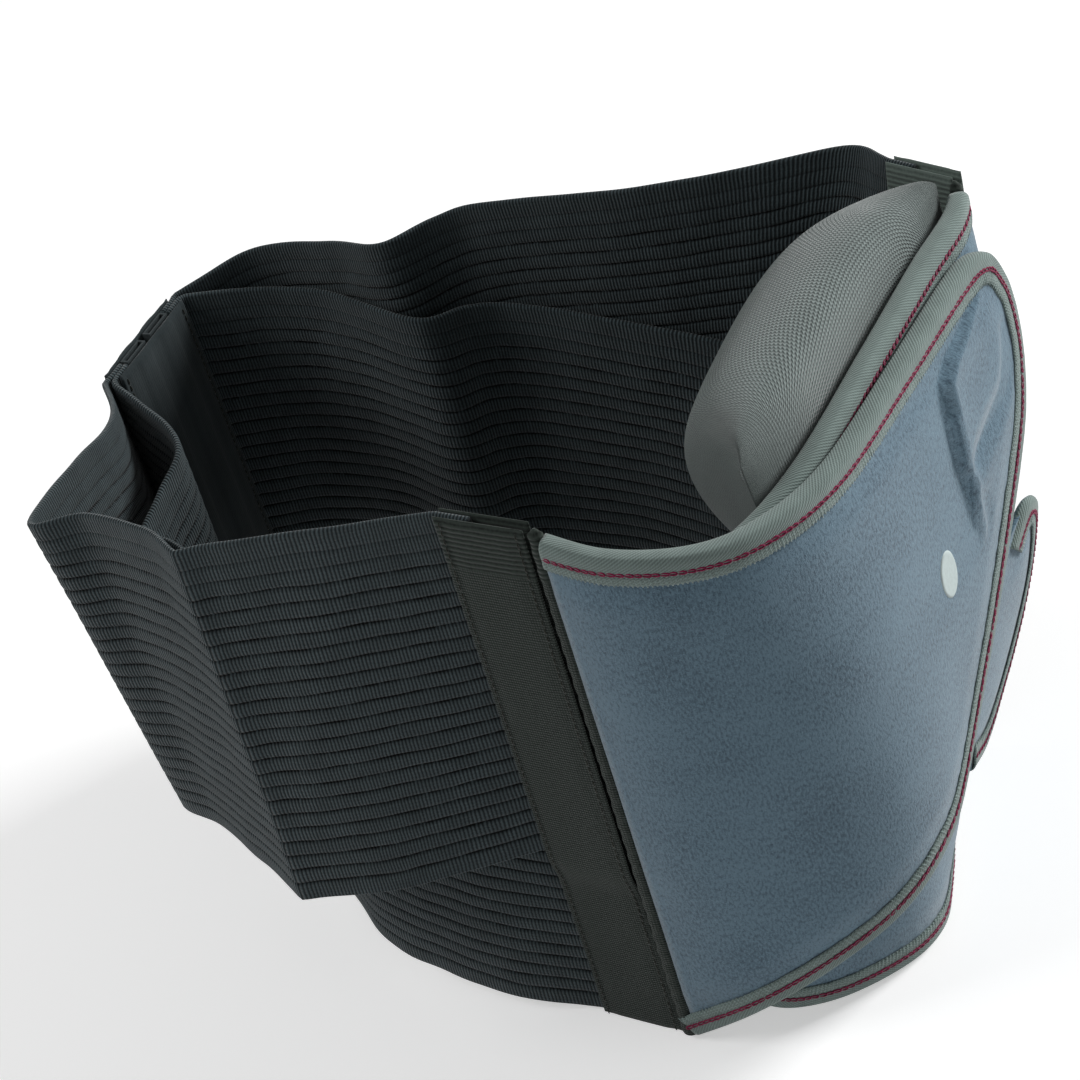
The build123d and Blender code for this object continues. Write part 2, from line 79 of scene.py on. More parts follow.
HOOK_THICKNESS, LOOP_THICKNESS = 1.2, 0.5
STRIP_WIDTH, STRIP_COVER = 48.0, 2.0
STAY_WIDTH, STAY_PITCH, POCKET_ROOM = 11.0, 17.0, 1.15
PAD_THICKNESS, PAD_TOP, PAD_BOTTOM = 46.0, 241.0, 104.0
TAB_THICKNESS, TAB_EASE = 1.8, 0.3
DOT_RADIUS, DOT_STATION, DOT_HEIGHT = 9.0, 4.87, 147.0
STRIP_SHARE = 0.11
BINDING_HEM = 3.9  # the binding's outer leg goes on this far past its chain stitch
SPOT_BREADTH, SPOT_PROUD, SPOT_ROUND = 0.6, 0.38, 0.5  # its width to its height, its thickness and its edge

EDGE_ROOM = BINDING_THICKNESS + BINDING_CLEARANCE
FLAP = FACE + FOAM + LINING + 2 * LAYER_GAP
HOOK_DEPTH = FLAP + PATCH_GAP
UNDER_LOOP_DEPTH = HOOK_DEPTH + HOOK_THICKNESS + MOVING_GAP
UNDER_DEPTH = UNDER_LOOP_DEPTH + LOOP_THICKNESS + PATCH_GAP
TAB_DEPTH = (FLAP - TAB_THICKNESS) / 2
LANDING_DEPTH = UNDER_DEPTH + FLAP + PATCH_GAP
PAD_HOOK_DEPTH = LANDING_DEPTH + LOOP_THICKNESS + MOVING_GAP
PAD_DEPTH = PAD_HOOK_DEPTH + HOOK_THICKNESS + PATCH_GAP
FAN = (HEIGHT - BAND_WIDTH) / 2
SANDWICH = 2 * BAND_THICKNESS + 3 * LAYER_GAP
TAPE_STACK = SANDWICH + 2 * TAPE_THICKNESS
BAND_STOP = STAY_PITCH / 2 + STAY_WIDTH / 2 + POCKET_ROOM + 1.0

FRONT_TOP = [(-96, -120), (-91, -146), (-76, -168), (-55, -178), (-23, -179),
             (28, -167), (72, -155), (101, -148), (120, -138), (136, -125)]
FRONT_BOTTOM = [(-96, -120), (-82, -147), (-58, -167), (-29, -178), (-6, -178),
                (15, -166), (35, -150), (55, -131), (70, -112), (82, -98)]
BELLY = [0, 0, 0, 2, 5, 10, 17, 19, 13, 8]
PLAIN = [0] * 10
FLARE = [0, 0, 0, 0, 0, 0, 0, 3, 8, 12]
TAB_FLARE = [0, 0, 0, 0, 0, 0, 1.5, 6, 8, 12]
FAR_SEAM, FAR_START, FAR_DEPTH = 8.0, 6.0, 6.3
NEAR_ROOT, FAR_ROOT = 0.215, 7.56
STATION_PITCH = 34.0  # mm of wall from one station to the next
STATION_STEP = 0.02  # change of station for a slope
CROWDED = 0.35  # share of a grid's spacing that is closer at its edges
OUTER = [(NEAR_ROOT, 0.010, 0.985), (1.0, 0.068, 0.979), (2.0, 0.124, 0.970), (3.0, 0.165, 0.962),
         (4.0, 0.213, 0.957), (4.5, 0.242, 0.956), (5.0, 0.300, 0.956), (5.5, 0.398, 0.956),
         (6.0, 0.512, 0.955), (6.45, 0.608, 0.951), (6.8, 0.682, 0.930), (7.0, 0.752, 0.885),
         (7.07, 0.800, 0.845)]
UNDER = [(FAR_ROOT, 0.0, 0.986), (7.0, 0.0, 0.985), (6.0, 0.0, 0.982), (5.0, 0.0, 0.975),
         (4.0, 0.0, 0.960), (3.2, 0.004, 0.942), (2.4, 0.010, 0.924), (1.7, 0.018, 0.902),
         (1.2, 0.035, 0.864), (0.85, 0.075, 0.800), (0.70, 0.150, 0.720), (0.64, 0.300, 0.560)]
TAB = [(5.0, 0.232, 0.279), (5.5, 0.218, 0.378), (6.0, 0.234, 0.490), (6.45, 0.272, 0.542),
       (6.8, 0.337, 0.530), (7.0, 0.398, 0.485)]
TAB_PUFF, TAB_PUFF_REACH = 0.5, 10.0
TAB_TUCK = 0.024  # share of the height by which the tab's cloth goes up under the flap's binding
TAB_BOUND_FROM = 6.1  # the tab's upper side is sewn to the flap up to this station, and bound after it
HOOK = [(4.7, 0.42, 0.80), (5.1, 0.41, 0.86), (5.6, 0.49, 0.88), (6.0, 0.59, 0.88), (6.35, 0.68, 0.86),
        (6.5, 0.73, 0.82)]
LOOP = [(3.6, 0.34, 0.86), (4.0, 0.30, 0.90), (5.5, 0.30, 0.91), (7.0, 0.32, 0.91), (7.3, 0.36, 0.88)]
STRIP_STATIONS, STRIP_LOWS = (4.6, 5.2, 5.8, 6.4, 6.9), (0.56, 0.80)
BANDS = {
    "near_upper_band": [(-117, -66, -127, -66, 0.02), (-134, -40, -144, -48, 0.07),
                        (-148, -15, -157, -22, 0.12), (-147, 5, -154, 4, 0.14), (-150, 32, -148, 34, 0.19),
                        (-160, 51, -147, 58, 0.26), (-125, 75, -120, 79, 0.49), (-92, 99, -92, 102, 0.79)],
    "near_lower_band": [(-110, -62, -115, -62, 0.16), (-119, -30, -123, -32, 0.28),
                        (-120, -5, -126, -8, 0.40), (-115, 30, -116, 24, 0.52), (-112, 58, -112, 60, 0.61),
                        (-117, 66, -118, 66, 0.66), (-99, 74, -100, 76, 0.75), (-78, 86, -79, 89, 0.87)],
    "far_upper_band": [(112, -84, 84, -56, 0.02), (92, -50, 84, -35, 0.15), (71, -12, 76, -5, 0.26),
                       (50, 38, 58, 42, 0.38), (39, 56, 44, 61, 0.48), (22, 69, 26, 76, 0.57),
                       (19, 99, 24, 104, 0.70), (8, 130, 14, 133, 0.81)],
    "far_lower_band": [(85, -78, 68, -55, 0.14), (76, -47, 66, -25, 0.32), (61, -3, 61, 6, 0.49),
                       (46, 34, 46, 38, 0.64), (34, 46, 34, 51, 0.73), (17, 55, 18, 62, 0.80),
                       (12, 96, 14, 98, 0.88), (0, 123, 2, 126, 0.94)],
}
CREASES = {"near_upper_band": (-148.0, -15.0)}  # plan point of a band's sharp crease, at its upper edge
CREASE_RISE = 2.8
SEAM_FOLD_MIDDLE, SEAM_FOLD = 3.3, (2.95, 2.3)  # near seam's fold: before the tape, half width and depth
NEAR_FRONT, NEAR_BACK = (-96.0, -120.0), (-104.0, -89.0)
FAR_BACK_TOP, FAR_BACK_BOTTOM, FAR_BACK_SWELL = (119.0, -106.0), (80.0, -83.0), 0.5
STRIP_CENTRE, STRIP_TURN = (-45.0, 139.0), math.radians(18.8)

# Folds near the outer flap's tip: station, height, strength.  The last number is the fold's reach in mm.
TIP_FOLD = ([(6.48, 217, 0.1), (6.18, 214, 0.5), (5.85, 211, 0.8), (5.55, 209, 1.0), (5.38, 205, 1.0),
             (5.35, 190, 1.0), (5.35, 175, 1.0), (5.40, 168, 1.0), (5.41, 156, 0.8), (5.46, 146, 0.4),
             (5.50, 136, 0.0)], 14.0)
TIP_CROSS = ([(6.62, 200, 0.1), (6.58, 192, 0.6), (6.50, 185, 0.9), (6.33, 177, 1.0), (5.90, 174, 1.0),
              (5.65, 172, 1.0), (5.41, 168, 0.6)], 9.0)
TIP_CREASE = ([(5.43, 162, 0.2), (5.56, 155, 0.7), (5.62, 147, 0.8), (5.60, 138, 0.1)], 5.0)


# ---------------------------------------------------------------- colours and sizes a user may change
def linear(code):
    """Scene linear colour of an sRGB hex code: each channel's part below 0.04045 is divided by 12.92, and
    the rest is raised to the power 2.4 after its offset."""
    channels = [int(code[k:k + 2], 16) / 255 for k in (0, 2, 4)]
    return tuple(c / 12.92 if c <= 0.04045 else ((c + 0.055) / 1.055) ** 2.4 for c in channels)


def colour(label, about, code):
    return FloatVectorProperty(name=label, description=about, subtype="COLOR", size=3, min=0, max=1,
                               default=linear(code))


def length(label, about, millimetres):
    return FloatProperty(name=label, description=about, unit="LENGTH", min=0, default=millimetres / MM)


class BeltColours(bpy.types.PropertyGroup):
    """Colours of the belt's fabrics."""

    elastic: colour("Elastic", "Ribs of the elastic bands", "3f494c")
    # groove: painted shade, the near black laid into the bottoms of the elastic's grooves
    groove: colour("Groove", "Bottom of the grooves between the elastic's ribs", "040506")
    tape: colour("Side tape", "Woven tape of the near side, and the seam cords", "343b37")
    # Far tape: paler than the near tape, partly its own grey-green and partly painted light where the far
    # side is lit.
    far_tape_tone_and_light: colour("Far tape", "Woven tape of the far side", "68746e")
    strip: colour("Back strip", "Plain woven cover of the centre back", "2c3335")
    face: colour("Flap face", "Brushed loop face of the flaps", "495f71")
    nap: colour("Raised nap", "Ends of the brushed loops, which catch the light", "7b98a9")
    lining: colour("Lining", "Smooth knit on the wearer's side", "7d8786")
    binding: colour("Binding", "Twill binding", "82918d")
    thread: colour("Thread", "Chain stitch on the bindings", "7c1840")
    overlock: colour("Overlock thread", "Short strokes beside the binding", "7d8d8a")
    seam_thread: colour("Seam thread", "Rows on the tapes and the back strip", "24261f")
    pad: colour("Pad knit", "Knitted cover of the padded insert", "7c8785")
    foam: colour("Foam", "Open cell foam", "d8d4c4")
    hook: colour("Hooks", "Moulded hooks", "2a2d2f")
    spot: colour("Spot", "Flat print on the outer flap", "d2e0df")
    stay: colour("Stay", "Spring steel stays", "a9acae")


class BeltSizes(bpy.types.PropertyGroup):
    """Sizes of the belt's fabric detail."""

    groove_pitch: length("Groove pitch", "From one groove of the elastic to the next", 6.1)
    groove_depth: length("Groove depth", "How deep the elastic's grooves are", 0.85)
    rib_pitch: length("Rib pitch", "From one crosswise rib of the elastic to the next", 1.25)
    link_pitch: length("Stitch length", "One link of the chain stitch on the bindings", 2.7)
    stroke_pitch: length("Overlock pitch", "From one overlock stroke to the next", 1.5)
    seam_pitch: length("Seam stitch length", "One stitch of the tapes' thread rows", 3.2)
    puff: length("Padding rise", "How far the flaps swell between their bindings", 1.3)
    fold_depth: length("Fold depth", "Depth of the fold near the outer flap's tip", 4.0)
    hook_pitch: length("Hook pitch", "From one moulded hook to the next", 2.0)
    pad_swell: length("Pad swell", "The most that a point of the pad may move as it fills", 3.0)


# ---------------------------------------------------------------- curves and surfaces
def along(rows, t):
    """Catmull-Rom curve through rows, t counted in rows: between two rows it is the cubic that passes
    through both and leaves each one parallel to the line between its neighbours."""
    rows = np.array(rows, float)
    rows = rows[:, None] if rows.ndim == 1 else rows
    rows = np.vstack([2 * rows[0] - rows[1], rows, 2 * rows[-1] - rows[-2]])
    t = np.asarray(t, float)
    i = np.clip(np.floor(t).astype(int), 0, len(rows) - 4)
    u = (t - i)[..., None]
    a, b, c, d = rows[i], rows[i + 1], rows[i + 2], rows[i + 3]
    return 0.5 * (2 * b + (c - a) * u + (2 * a - 5 * b + 4 * c - d) * u * u
                  + (3 * b - a - 3 * c + d) * u ** 3)


def unit(v):
    return v / np.linalg.norm(v, axis=-1, keepdims=True)


def pairs(first, second):
    """Two grids as the last axis of one, such as where a cloth's threads run."""
    return np.stack(np.broadcast_arrays(first, second), -1)


def smooth_step(x):
    """Rises from 0 to 1 as x does, with level ends: three times the square less twice the cube."""
    x = np.clip(x, 0, 1)
    return x * x * (3 - 2 * x)


def crowded(t):
    """Even steps from 0 to 1 made closer at both ends, by the share CROWDED of a half turn's cosine."""
    return CROWDED * (0.5 - 0.5 * np.cos(math.pi * t)) + (1 - CROWDED) * t


def travelled(points):
    """Distance along a line of points, up to each of them."""
    return np.concatenate([[0], np.cumsum(np.linalg.norm(np.diff(points, axis=0), axis=1))])


def wall_run(station):
    """Plan direction of the front wall at a station."""
    return unit(sum(along(p, station + STATION_STEP) - along(p, station - STATION_STEP)
                    for p in (FRONT_BOTTOM, FRONT_TOP)))


def wall(station, height, outward, extra=None):
    """Front wall: straight from foot to head in plan, swelled by a parabola of height that is largest half
    way up, and moved outward along the plan's normal."""
    station, height, outward = np.broadcast_arrays(station, height, outward)
    foot, head = along(FRONT_BOTTOM, station), along(FRONT_TOP, station)
    run = wall_run(station)
    normal = np.stack([run[..., 1], -run[..., 0]], -1)
    share = (height / HEIGHT)[..., None]
    swell = along(np.array(BELLY) + np.array(extra or PLAIN), station) * 4 * share * (1 - share)
    plan = foot + (head - foot) * share + normal * (outward[..., None] + swell)
    return np.concatenate([plan, height[..., None]], -1)


def near_tape_point(distance, depth, height):
    """Near tape: distance back from its front edge and depth in from its outer face, both in plan."""
    distance, depth, height = np.broadcast_arrays(np.asarray(distance, float), depth, height)
    run = unit(np.subtract(NEAR_BACK, NEAR_FRONT))
    plan = np.array(NEAR_FRONT) + distance[..., None] * run + depth[..., None] * np.array([run[1], -run[0]])
    return np.concatenate([plan, height[..., None]], -1)


def far_tape_point(distance, depth, height):
    """Far tape: it leans and swells as the front wall does at its seam."""
    distance, depth, height = np.broadcast_arrays(np.asarray(distance, float), depth, height)
    share = (height / HEIGHT)[..., None]
    foot, head = along(FRONT_BOTTOM, FAR_SEAM), along(FRONT_TOP, FAR_SEAM)
    run = wall_run(FAR_SEAM)
    back_foot, back_head = np.array(FAR_BACK_BOTTOM), np.array(FAR_BACK_TOP)
    middle = unit((back_foot + back_head - foot - head) / 2)
    push = np.array([run[1], -run[0]]) * along(BELLY, FAR_SEAM) * 4 * share * (1 - share)
    front = foot + (head - foot) * share + push
    back = back_foot + (back_head - back_foot) * share + push * FAR_BACK_SWELL
    part = ((distance + FAR_START) / (TAPE_WIDTH + FAR_START))[..., None]
    plan = front + (back - front) * part + np.array([-middle[1], middle[0]]) * (depth[..., None] + FAR_DEPTH)
    return np.concatenate([plan, height[..., None]], -1)


def strip_point(across, outward, height):
    """Back strip: across its width and outward from its middle layer, both turned in plan."""
    across, outward, height = np.broadcast_arrays(np.asarray(across, float), outward, height)
    cos, sin = math.cos(STRIP_TURN), math.sin(STRIP_TURN)
    return np.stack([STRIP_CENTRE[0] + across * cos - outward * sin,
                     STRIP_CENTRE[1] + across * sin + outward * cos, height], -1)


# ---------------------------------------------------------------- meshes
def grid_faces(rows, columns, wrap=False):
    """Four-cornered faces between neighbouring points of a grid, numbered row by row."""
    i, j = np.meshgrid(np.arange(rows - 1), np.arange(columns if wrap else columns - 1), indexing="ij")
    k = (j + 1) % columns
    return np.stack([i * columns + j, i * columns + k, (i + 1) * columns + k, (i + 1) * columns + j],
                    -1).reshape(-1, 4)


def tube_faces(rows, columns, closed=False):
    """Faces of a tube of closed sections. Its ends are zipped shut across, or it closes into a ring."""
    if closed:
        return grid_faces(rows + 1, columns, wrap=True) % (rows * columns)
    half = np.arange(columns // 2 - 1)
    cap = np.stack([half, half + 1, columns - 2 - half, columns - 1 - half], -1)
    return np.vstack([grid_faces(rows, columns, wrap=True), cap[:, ::-1], cap + (rows - 1) * columns])


def shell_faces(rows, columns):
    """Faces of a closed sheet: the front grid, the back grid turned round, and a rim that joins them."""
    count = rows * columns
    ids = np.arange(count).reshape(rows, columns)
    ring = np.concatenate([ids[0, :-1], ids[:-1, -1], ids[-1, :0:-1], ids[:0:-1, 0]])
    after = np.roll(ring, -1)
    rim = np.stack([after, ring, ring + count, after + count], -1)
    front = grid_faces(rows, columns)
    return np.vstack([front, front[:, ::-1] + count, rim])


def repeated(faces, points, count):
    """The same faces for each of count copies of a shape with that many points."""
    return (faces[None] + np.arange(count)[:, None, None] * points).reshape(-1, faces.shape[1])


def piece(name, points, faces, material, body, slot, stands_for=(), weave=None, groove_shade=None):
    """A mesh piece in the row frame that rides on a body. Its faces are turned outward by the sign of the
    volume that they close. weave is where the cloth's threads run, in mm, kept as the piece's UV map."""
    points = np.asarray(points, float).reshape(-1, 3)
    a, b, c = (points[faces[:, k]] for k in (0, 1, 2))
    volume = (a * np.cross(b, c)).sum()
    if faces.shape[1] == 4:
        volume += (a * np.cross(c, points[faces[:, 3]])).sum()
    if volume < 0:
        faces = faces[:, ::-1]
    mesh = bpy.data.meshes.new(name)
    mesh.from_pydata(((points + SHIFT) / MM).tolist(), [], faces.tolist())
    mesh.polygons.foreach_set("use_smooth", np.ones(len(mesh.polygons), bool))
    if weave is not None:
        weave = np.asarray(weave, float).reshape(-1, 2)
        corner = np.zeros(len(mesh.loops), np.int32)
        mesh.loops.foreach_get("vertex_index", corner)
        mesh.uv_layers.new(name="weave").data.foreach_set("uv", weave[corner].ravel())
    # The groove shade is kept as the point attribute relief: how deep each point lies in a groove, which the
    # elastic's material paints dark as shade.
    if groove_shade is not None:
        mesh.attributes.new("relief", "FLOAT", "POINT").data.foreach_set(
            "value", np.asarray(groove_shade, np.float32).ravel())
    mesh.materials.append(material)
    mesh.update()
    made = bpy.data.objects.new(name, mesh)
    bpy.context.scene.collection.objects.link(made)
    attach(made, body)
    if stands_for:
        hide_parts(*stands_for)
    return made


def sheet_piece(name, front, back, weave, *finish, relief=None, **rest):
    """Closed sheet between two grids of points."""
    rows, columns = front.shape[:2]
    both = None if relief is None else np.stack([relief, relief])
    return piece(name, np.stack([front, back]), shell_faces(rows, columns), *finish,
                 weave=np.stack([weave, weave]), groove_shade=both, **rest)


def rounded(distance, half):
    """Share of a sheet's half thickness that is left near its edge: a quarter circle over that distance."""
    inside = np.clip(distance / half, 0.02, 1)
    return np.sqrt(1 - (1 - inside) ** 2)


def ripple(t, pitch, seed, terms=4):
    """Uneven wave with about that pitch, from -1 to 1: a sum of sines whose pitches and starts are drawn
    once from a seeded generator."""
    rng = np.random.default_rng(seed)
    pitches = pitch * rng.uniform(0.6, 1.9, terms)
    starts = rng.uniform(0, 2 * math.pi, terms)
    return sum(np.sin(2 * math.pi * t / p + s) for p, s in zip(pitches, starts)) / terms


# ---------------------------------------------------------------- materials
WAVE = 2 * math.pi / 20  # a Wave texture of scale 1 repeats after this distance
CLOTH_GLOSS = 0.08  # specular level of cloth, lower than that of a smooth surface
SHEEN_ROUGHNESS = 0.45
TAPE_HEM = (22, 17)  # mm below a tape's upper end: where its folded end's coarser weave begins and is full


def add(tree, kind, settings=None, inputs=None):
    """Adds a node with its settings, and sets or links its inputs by name or place."""
    made = tree.nodes.new("ShaderNode" + kind)
    for key, value in (settings or {}).items():
        setattr(made, key, value)
    for key, value in (inputs or {}).items():
        if isinstance(value, bpy.types.NodeSocket):
            tree.links.new(value, made.inputs[key])
        else:
            made.inputs[key].default_value = value
    return made


class Recipe:
    """A material being made round a Principled shader. Pitches are in the unit of the vector they are for:
    mm along the threads, metres in the object's own space."""

    def __init__(self, name, roughness, sheen=0.0, gloss=CLOTH_GLOSS):
        self.material = bpy.data.materials.new(name)
        self.material.use_nodes = True
        self.tree = self.material.node_tree
        self.tree.nodes.clear()
        self.shader = self.add("BsdfPrincipled", inputs={
            "Roughness": roughness, "Sheen Weight": sheen, "Sheen Roughness": SHEEN_ROUGHNESS,
            "Specular IOR Level": gloss})
        self.add("OutputMaterial", inputs={"Surface": self.shader.outputs[0]})

    def add(self, kind, settings=None, inputs=None):
        return add(self.tree, kind, settings, inputs)

    def weave(self):
        return self.add("UVMap", {"uv_map": "weave"}).outputs[0]

    def place(self):
        return self.add("TexCoord").outputs["Object"]

    def mapped(self, vector, **change):
        return self.add("Mapping", inputs={"Vector": vector, **change}).outputs[0]

    def calc(self, operation, *values, clamp=False):
        return self.add("Math", {"operation": operation, "use_clamp": clamp},
                        dict(enumerate(values))).outputs[0]

    def fit(self, value, factor, plus, clamp=False):
        """A value times a factor, plus the rest."""
        return self.calc("MULTIPLY_ADD", value, factor, plus, clamp=clamp)

    def ranged(self, value, old, new=(0.0, 1.0), kind="LINEAR"):
        """A value carried from an old range to a new one."""
        return self.add("MapRange", {"interpolation_type": kind}, {
            "Value": value, "From Min": old[0], "From Max": old[1], "To Min": new[0],
            "To Max": new[1]}).outputs[0]

    def wave(self, vector, axis, pitch, distortion, detail=2.0, detail_scale=1.0):
        return self.add("TexWave", {"bands_direction": axis}, {
            "Vector": vector, "Scale": WAVE / pitch, "Distortion": distortion, "Detail": detail,
            "Detail Scale": detail_scale}).outputs["Fac"]

    def noise(self, vector, scale, detail, roughness=0.5):
        return self.add("TexNoise", inputs={"Vector": vector, "Scale": scale, "Detail": detail,
                                            "Roughness": roughness}).outputs["Fac"]

    def cells(self, vector, scale, randomness=1.0):
        return self.add("TexVoronoi", inputs={"Vector": vector, "Scale": scale,
                                              "Randomness": randomness}).outputs[0]

    def mixed(self, share, first, second):
        return self.add("Mix", {"data_type": "RGBA"}, {0: share, 6: first, 7: second}).outputs[2]

    def colour(self, socket):
        self.tree.links.new(socket, self.shader.inputs["Base Color"])

    def finish(self, dark, light, tone, relief, depth_mm, strength=0.6):
        """Colours the cloth between dark and light by tone, and raises it by relief, depth_mm high."""
        self.cloth = self.mixed(tone, (*dark, 1), (*light, 1))
        self.colour(self.cloth)
        bump = self.add("Bump", inputs={"Height": relief, "Distance": depth_mm / MM, "Strength": strength})
        self.tree.links.new(bump.outputs[0], self.shader.inputs["Normal"])
        return self.material


def shade(rgb, factor):
    return tuple(min(1.0, c * factor) for c in rgb)


def elastic_webbing(c, rib_pitch):
    """Grooved elastic webbing, polyester over rubber: crosswise dull ribs, with painted shade in the grooves.
    """
    m = Recipe("grooved_elastic_webbing", 0.78, 0.25)
    weave = m.weave()
    ribs = m.wave(weave, "X", rib_pitch, 1.4, detail_scale=0.7)
    floats = m.wave(weave, "Y", 1.5, 2.5, detail_scale=0.8)
    raised = m.fit(m.noise(weave, 1.6, 3.0), 0.75, m.fit(floats, 0.10, ribs))
    patchy = m.ranged(m.noise(weave, 0.11, 4.0), (0.3, 0.7), (0.7, 1.15))
    tone = m.calc("MULTIPLY", m.fit(raised, 0.78, -0.42, clamp=True), patchy)
    made = m.finish(shade(c.elastic, 0.35), shade(c.elastic, 2.3), tone, raised, 0.34, 0.9)
    # Painted shade: the groove colour is mixed in by how deep each point lies in a groove, broken into
    # dashes.
    breaks = m.ranged(m.noise(weave, 0.45, 3.0), (0.34, 0.5), (0.5, 1.5))
    groove = m.add("Attribute", {"attribute_name": "relief"}).outputs["Fac"]
    groove = m.calc("MULTIPLY", groove, breaks, clamp=True)
    m.colour(m.mixed(groove, m.cloth, (*c.groove, 1)))
    return made


def woven_tape(name, tape_colour, contrast):
    """Woven polyester side tape, plain weave with a fine warp line: dull, a little fuzzy, coarser where its
    end is folded over near the upper edge."""
    m = Recipe(name, 0.85, 0.15)
    weave = m.weave()
    plain = m.fit(m.wave(weave, "X", 0.9, 0.8), 0.5, m.wave(weave, "Y", 1.1, 1.0))
    hem = m.calc("MULTIPLY", m.wave(weave, "Y", 1.9, 1.2), 1.6)
    height = m.add("SeparateXYZ", inputs={0: m.place()}).outputs[2]
    folded = m.ranged(height, [(HEIGHT - drop) / MM for drop in TAPE_HEM], kind="SMOOTHSTEP")
    raised = m.add("Mix", {"data_type": "FLOAT"}, {0: folded, 2: plain, 3: hem}).outputs[0]
    tone = m.fit(raised, 0.35, m.noise(weave, 0.9, 5.0), clamp=True)
    return m.finish(shade(tape_colour, 1 - contrast), shade(tape_colour, 1 + 1.35 * contrast),
                    m.fit(tone, 1.1, -0.4, clamp=True), raised, 0.3, 0.8)


def strip_cloth(c):
    """Plain woven nylon of the back strip: close dark weave with almost no pattern."""
    m = Recipe("plain_nylon_weave", 0.8, 0.2)
    place = m.place()
    cells = m.cells(place, MM / 1.1, 0.35)
    tone = m.fit(cells, 0.5, m.noise(place, MM / 18, 5.0), clamp=True)
    return m.finish(shade(c.strip, 0.6), shade(c.strip, 1.4), tone, cells, 0.2)


def brushed_loop(c):
    """Brushed loop knit of the flaps: a soft nap of short upright dashes, paler where the loops stand."""
    m = Recipe("brushed_loop_knit", 0.92, 0.55)
    weave = m.weave()
    dashes = m.noise(m.mapped(weave, Scale=(1.0, 0.42, 1.0)), 1.2, 2.5, 0.6)
    raised = m.fit(m.noise(weave, 2.2, 3.0), 0.6, dashes)
    tone = m.calc("SUBTRACT", m.fit(raised, 2.5, -1.62), 0.1)
    tone = m.fit(m.noise(weave, 0.035, 5.0, 0.55), 1.0, tone, clamp=True)
    specks = m.ranged(m.noise(weave, 1.5, 1.0), (0.64, 0.72), (0.0, 0.35))
    tone = m.calc("ADD", m.calc("MULTIPLY", tone, 0.72), specks, clamp=True)
    return m.finish(shade(c.face, 0.72), c.nap, tone, raised, 0.35, 0.5)


def smooth_lining(c):
    """Smooth warp knit lining: fine wales, slightly glossy."""
    m = Recipe("smooth_knit_lining", 0.7, 0.3)
    weave = m.weave()
    raised = m.fit(m.wave(weave, "Y", 0.9, 0.5), 0.4, m.wave(weave, "X", 1.2, 0.5, detail=1.0))
    tone = m.fit(raised, 0.45, m.noise(weave, 0.05, 4.0), clamp=True)
    return m.finish(shade(c.lining, 0.65), shade(c.lining, 1.25),
                    m.calc("SUBTRACT", tone, 0.25, clamp=True), raised, 0.18)


def twill_binding(c):
    """Cotton twill binding: raised diagonal lines, pale on their crests, slightly darker in the valleys and
    in soft patches.
    """
    m = Recipe("cotton_twill_binding", 0.82, 0.3)
    weave = m.weave()
    turned = m.mapped(weave, Rotation=(0, 0, math.radians(55)))
    raised = m.fit(m.wave(weave, "X", 0.8, 1.0), 0.3, m.wave(turned, "X", 0.85, 0.8, detail_scale=0.7))
    tone = m.fit(raised, 0.6, m.fit(m.noise(weave, 0.12, 4.0), 0.6, -0.25), clamp=True)
    return m.finish(shade(c.binding, 0.68), shade(c.binding, 1.35), tone, raised, 0.2)


def sewing_thread(name, rgb):
    """Spun polyester sewing thread: two plies twisted, a soft gloss along them."""
    m = Recipe(name, 0.55, 0.3)
    place = m.place()
    twist = m.wave(place, "DIAGONAL", 0.7 / MM, 1.0)
    tone = m.fit(twist, 0.55, m.noise(place, MM / 6, 3.0), clamp=True)
    return m.finish(shade(rgb, 0.5), shade(rgb, 1.3), tone, twist, 0.12)


def pad_knit(c):
    """Jersey knit of the padded insert: columns of small V-shaped stitches, soft and matt."""
    m = Recipe("jersey_knit", 0.9, 0.45)
    weave = m.weave()
    parts = m.add("SeparateXYZ", inputs={0: weave}).outputs
    wale = m.calc("PINGPONG", parts[1], 0.72)
    vees = m.calc("SINE", m.calc("MULTIPLY", m.fit(wale, 0.9, parts[0]), 2 * math.pi / 1.3))
    raised = m.fit(vees, 0.3, m.calc("MULTIPLY", wale, 1.39))
    tone = m.calc("SUBTRACT", m.fit(raised, 0.75, m.noise(weave, 1.1, 4.0)), 0.62)
    tone = m.fit(m.noise(weave, 0.04, 4.0), 0.5, tone, clamp=True)
    return m.finish(shade(c.pad, 0.48), shade(c.pad, 1.36), tone, raised, 0.45, 0.8)


def open_foam(c):
    """Open cell polyurethane foam: matt, with fine pores."""
    m = Recipe("open_cell_foam", 0.95)
    pores = m.cells(m.place(), MM / 1.2)
    return m.finish(shade(c.foam, 0.55), c.foam, pores, pores, 0.4)


def grained(name, roughness, gloss, dark, light, pitch_mm, detail, depth_mm, drawn=False):
    """Smooth material with a fine grain. A drawn one is metal, with its grain stretched up its length."""
    m = Recipe(name, roughness, gloss=gloss)
    place = m.place()
    if drawn:
        m.shader.inputs["Metallic"].default_value = 1.0
        place = m.mapped(place, Scale=(1.0, 1.0, 0.02))
    grain = m.noise(place, MM / pitch_mm, detail)
    return m.finish(dark, light, grain, grain, depth_mm)


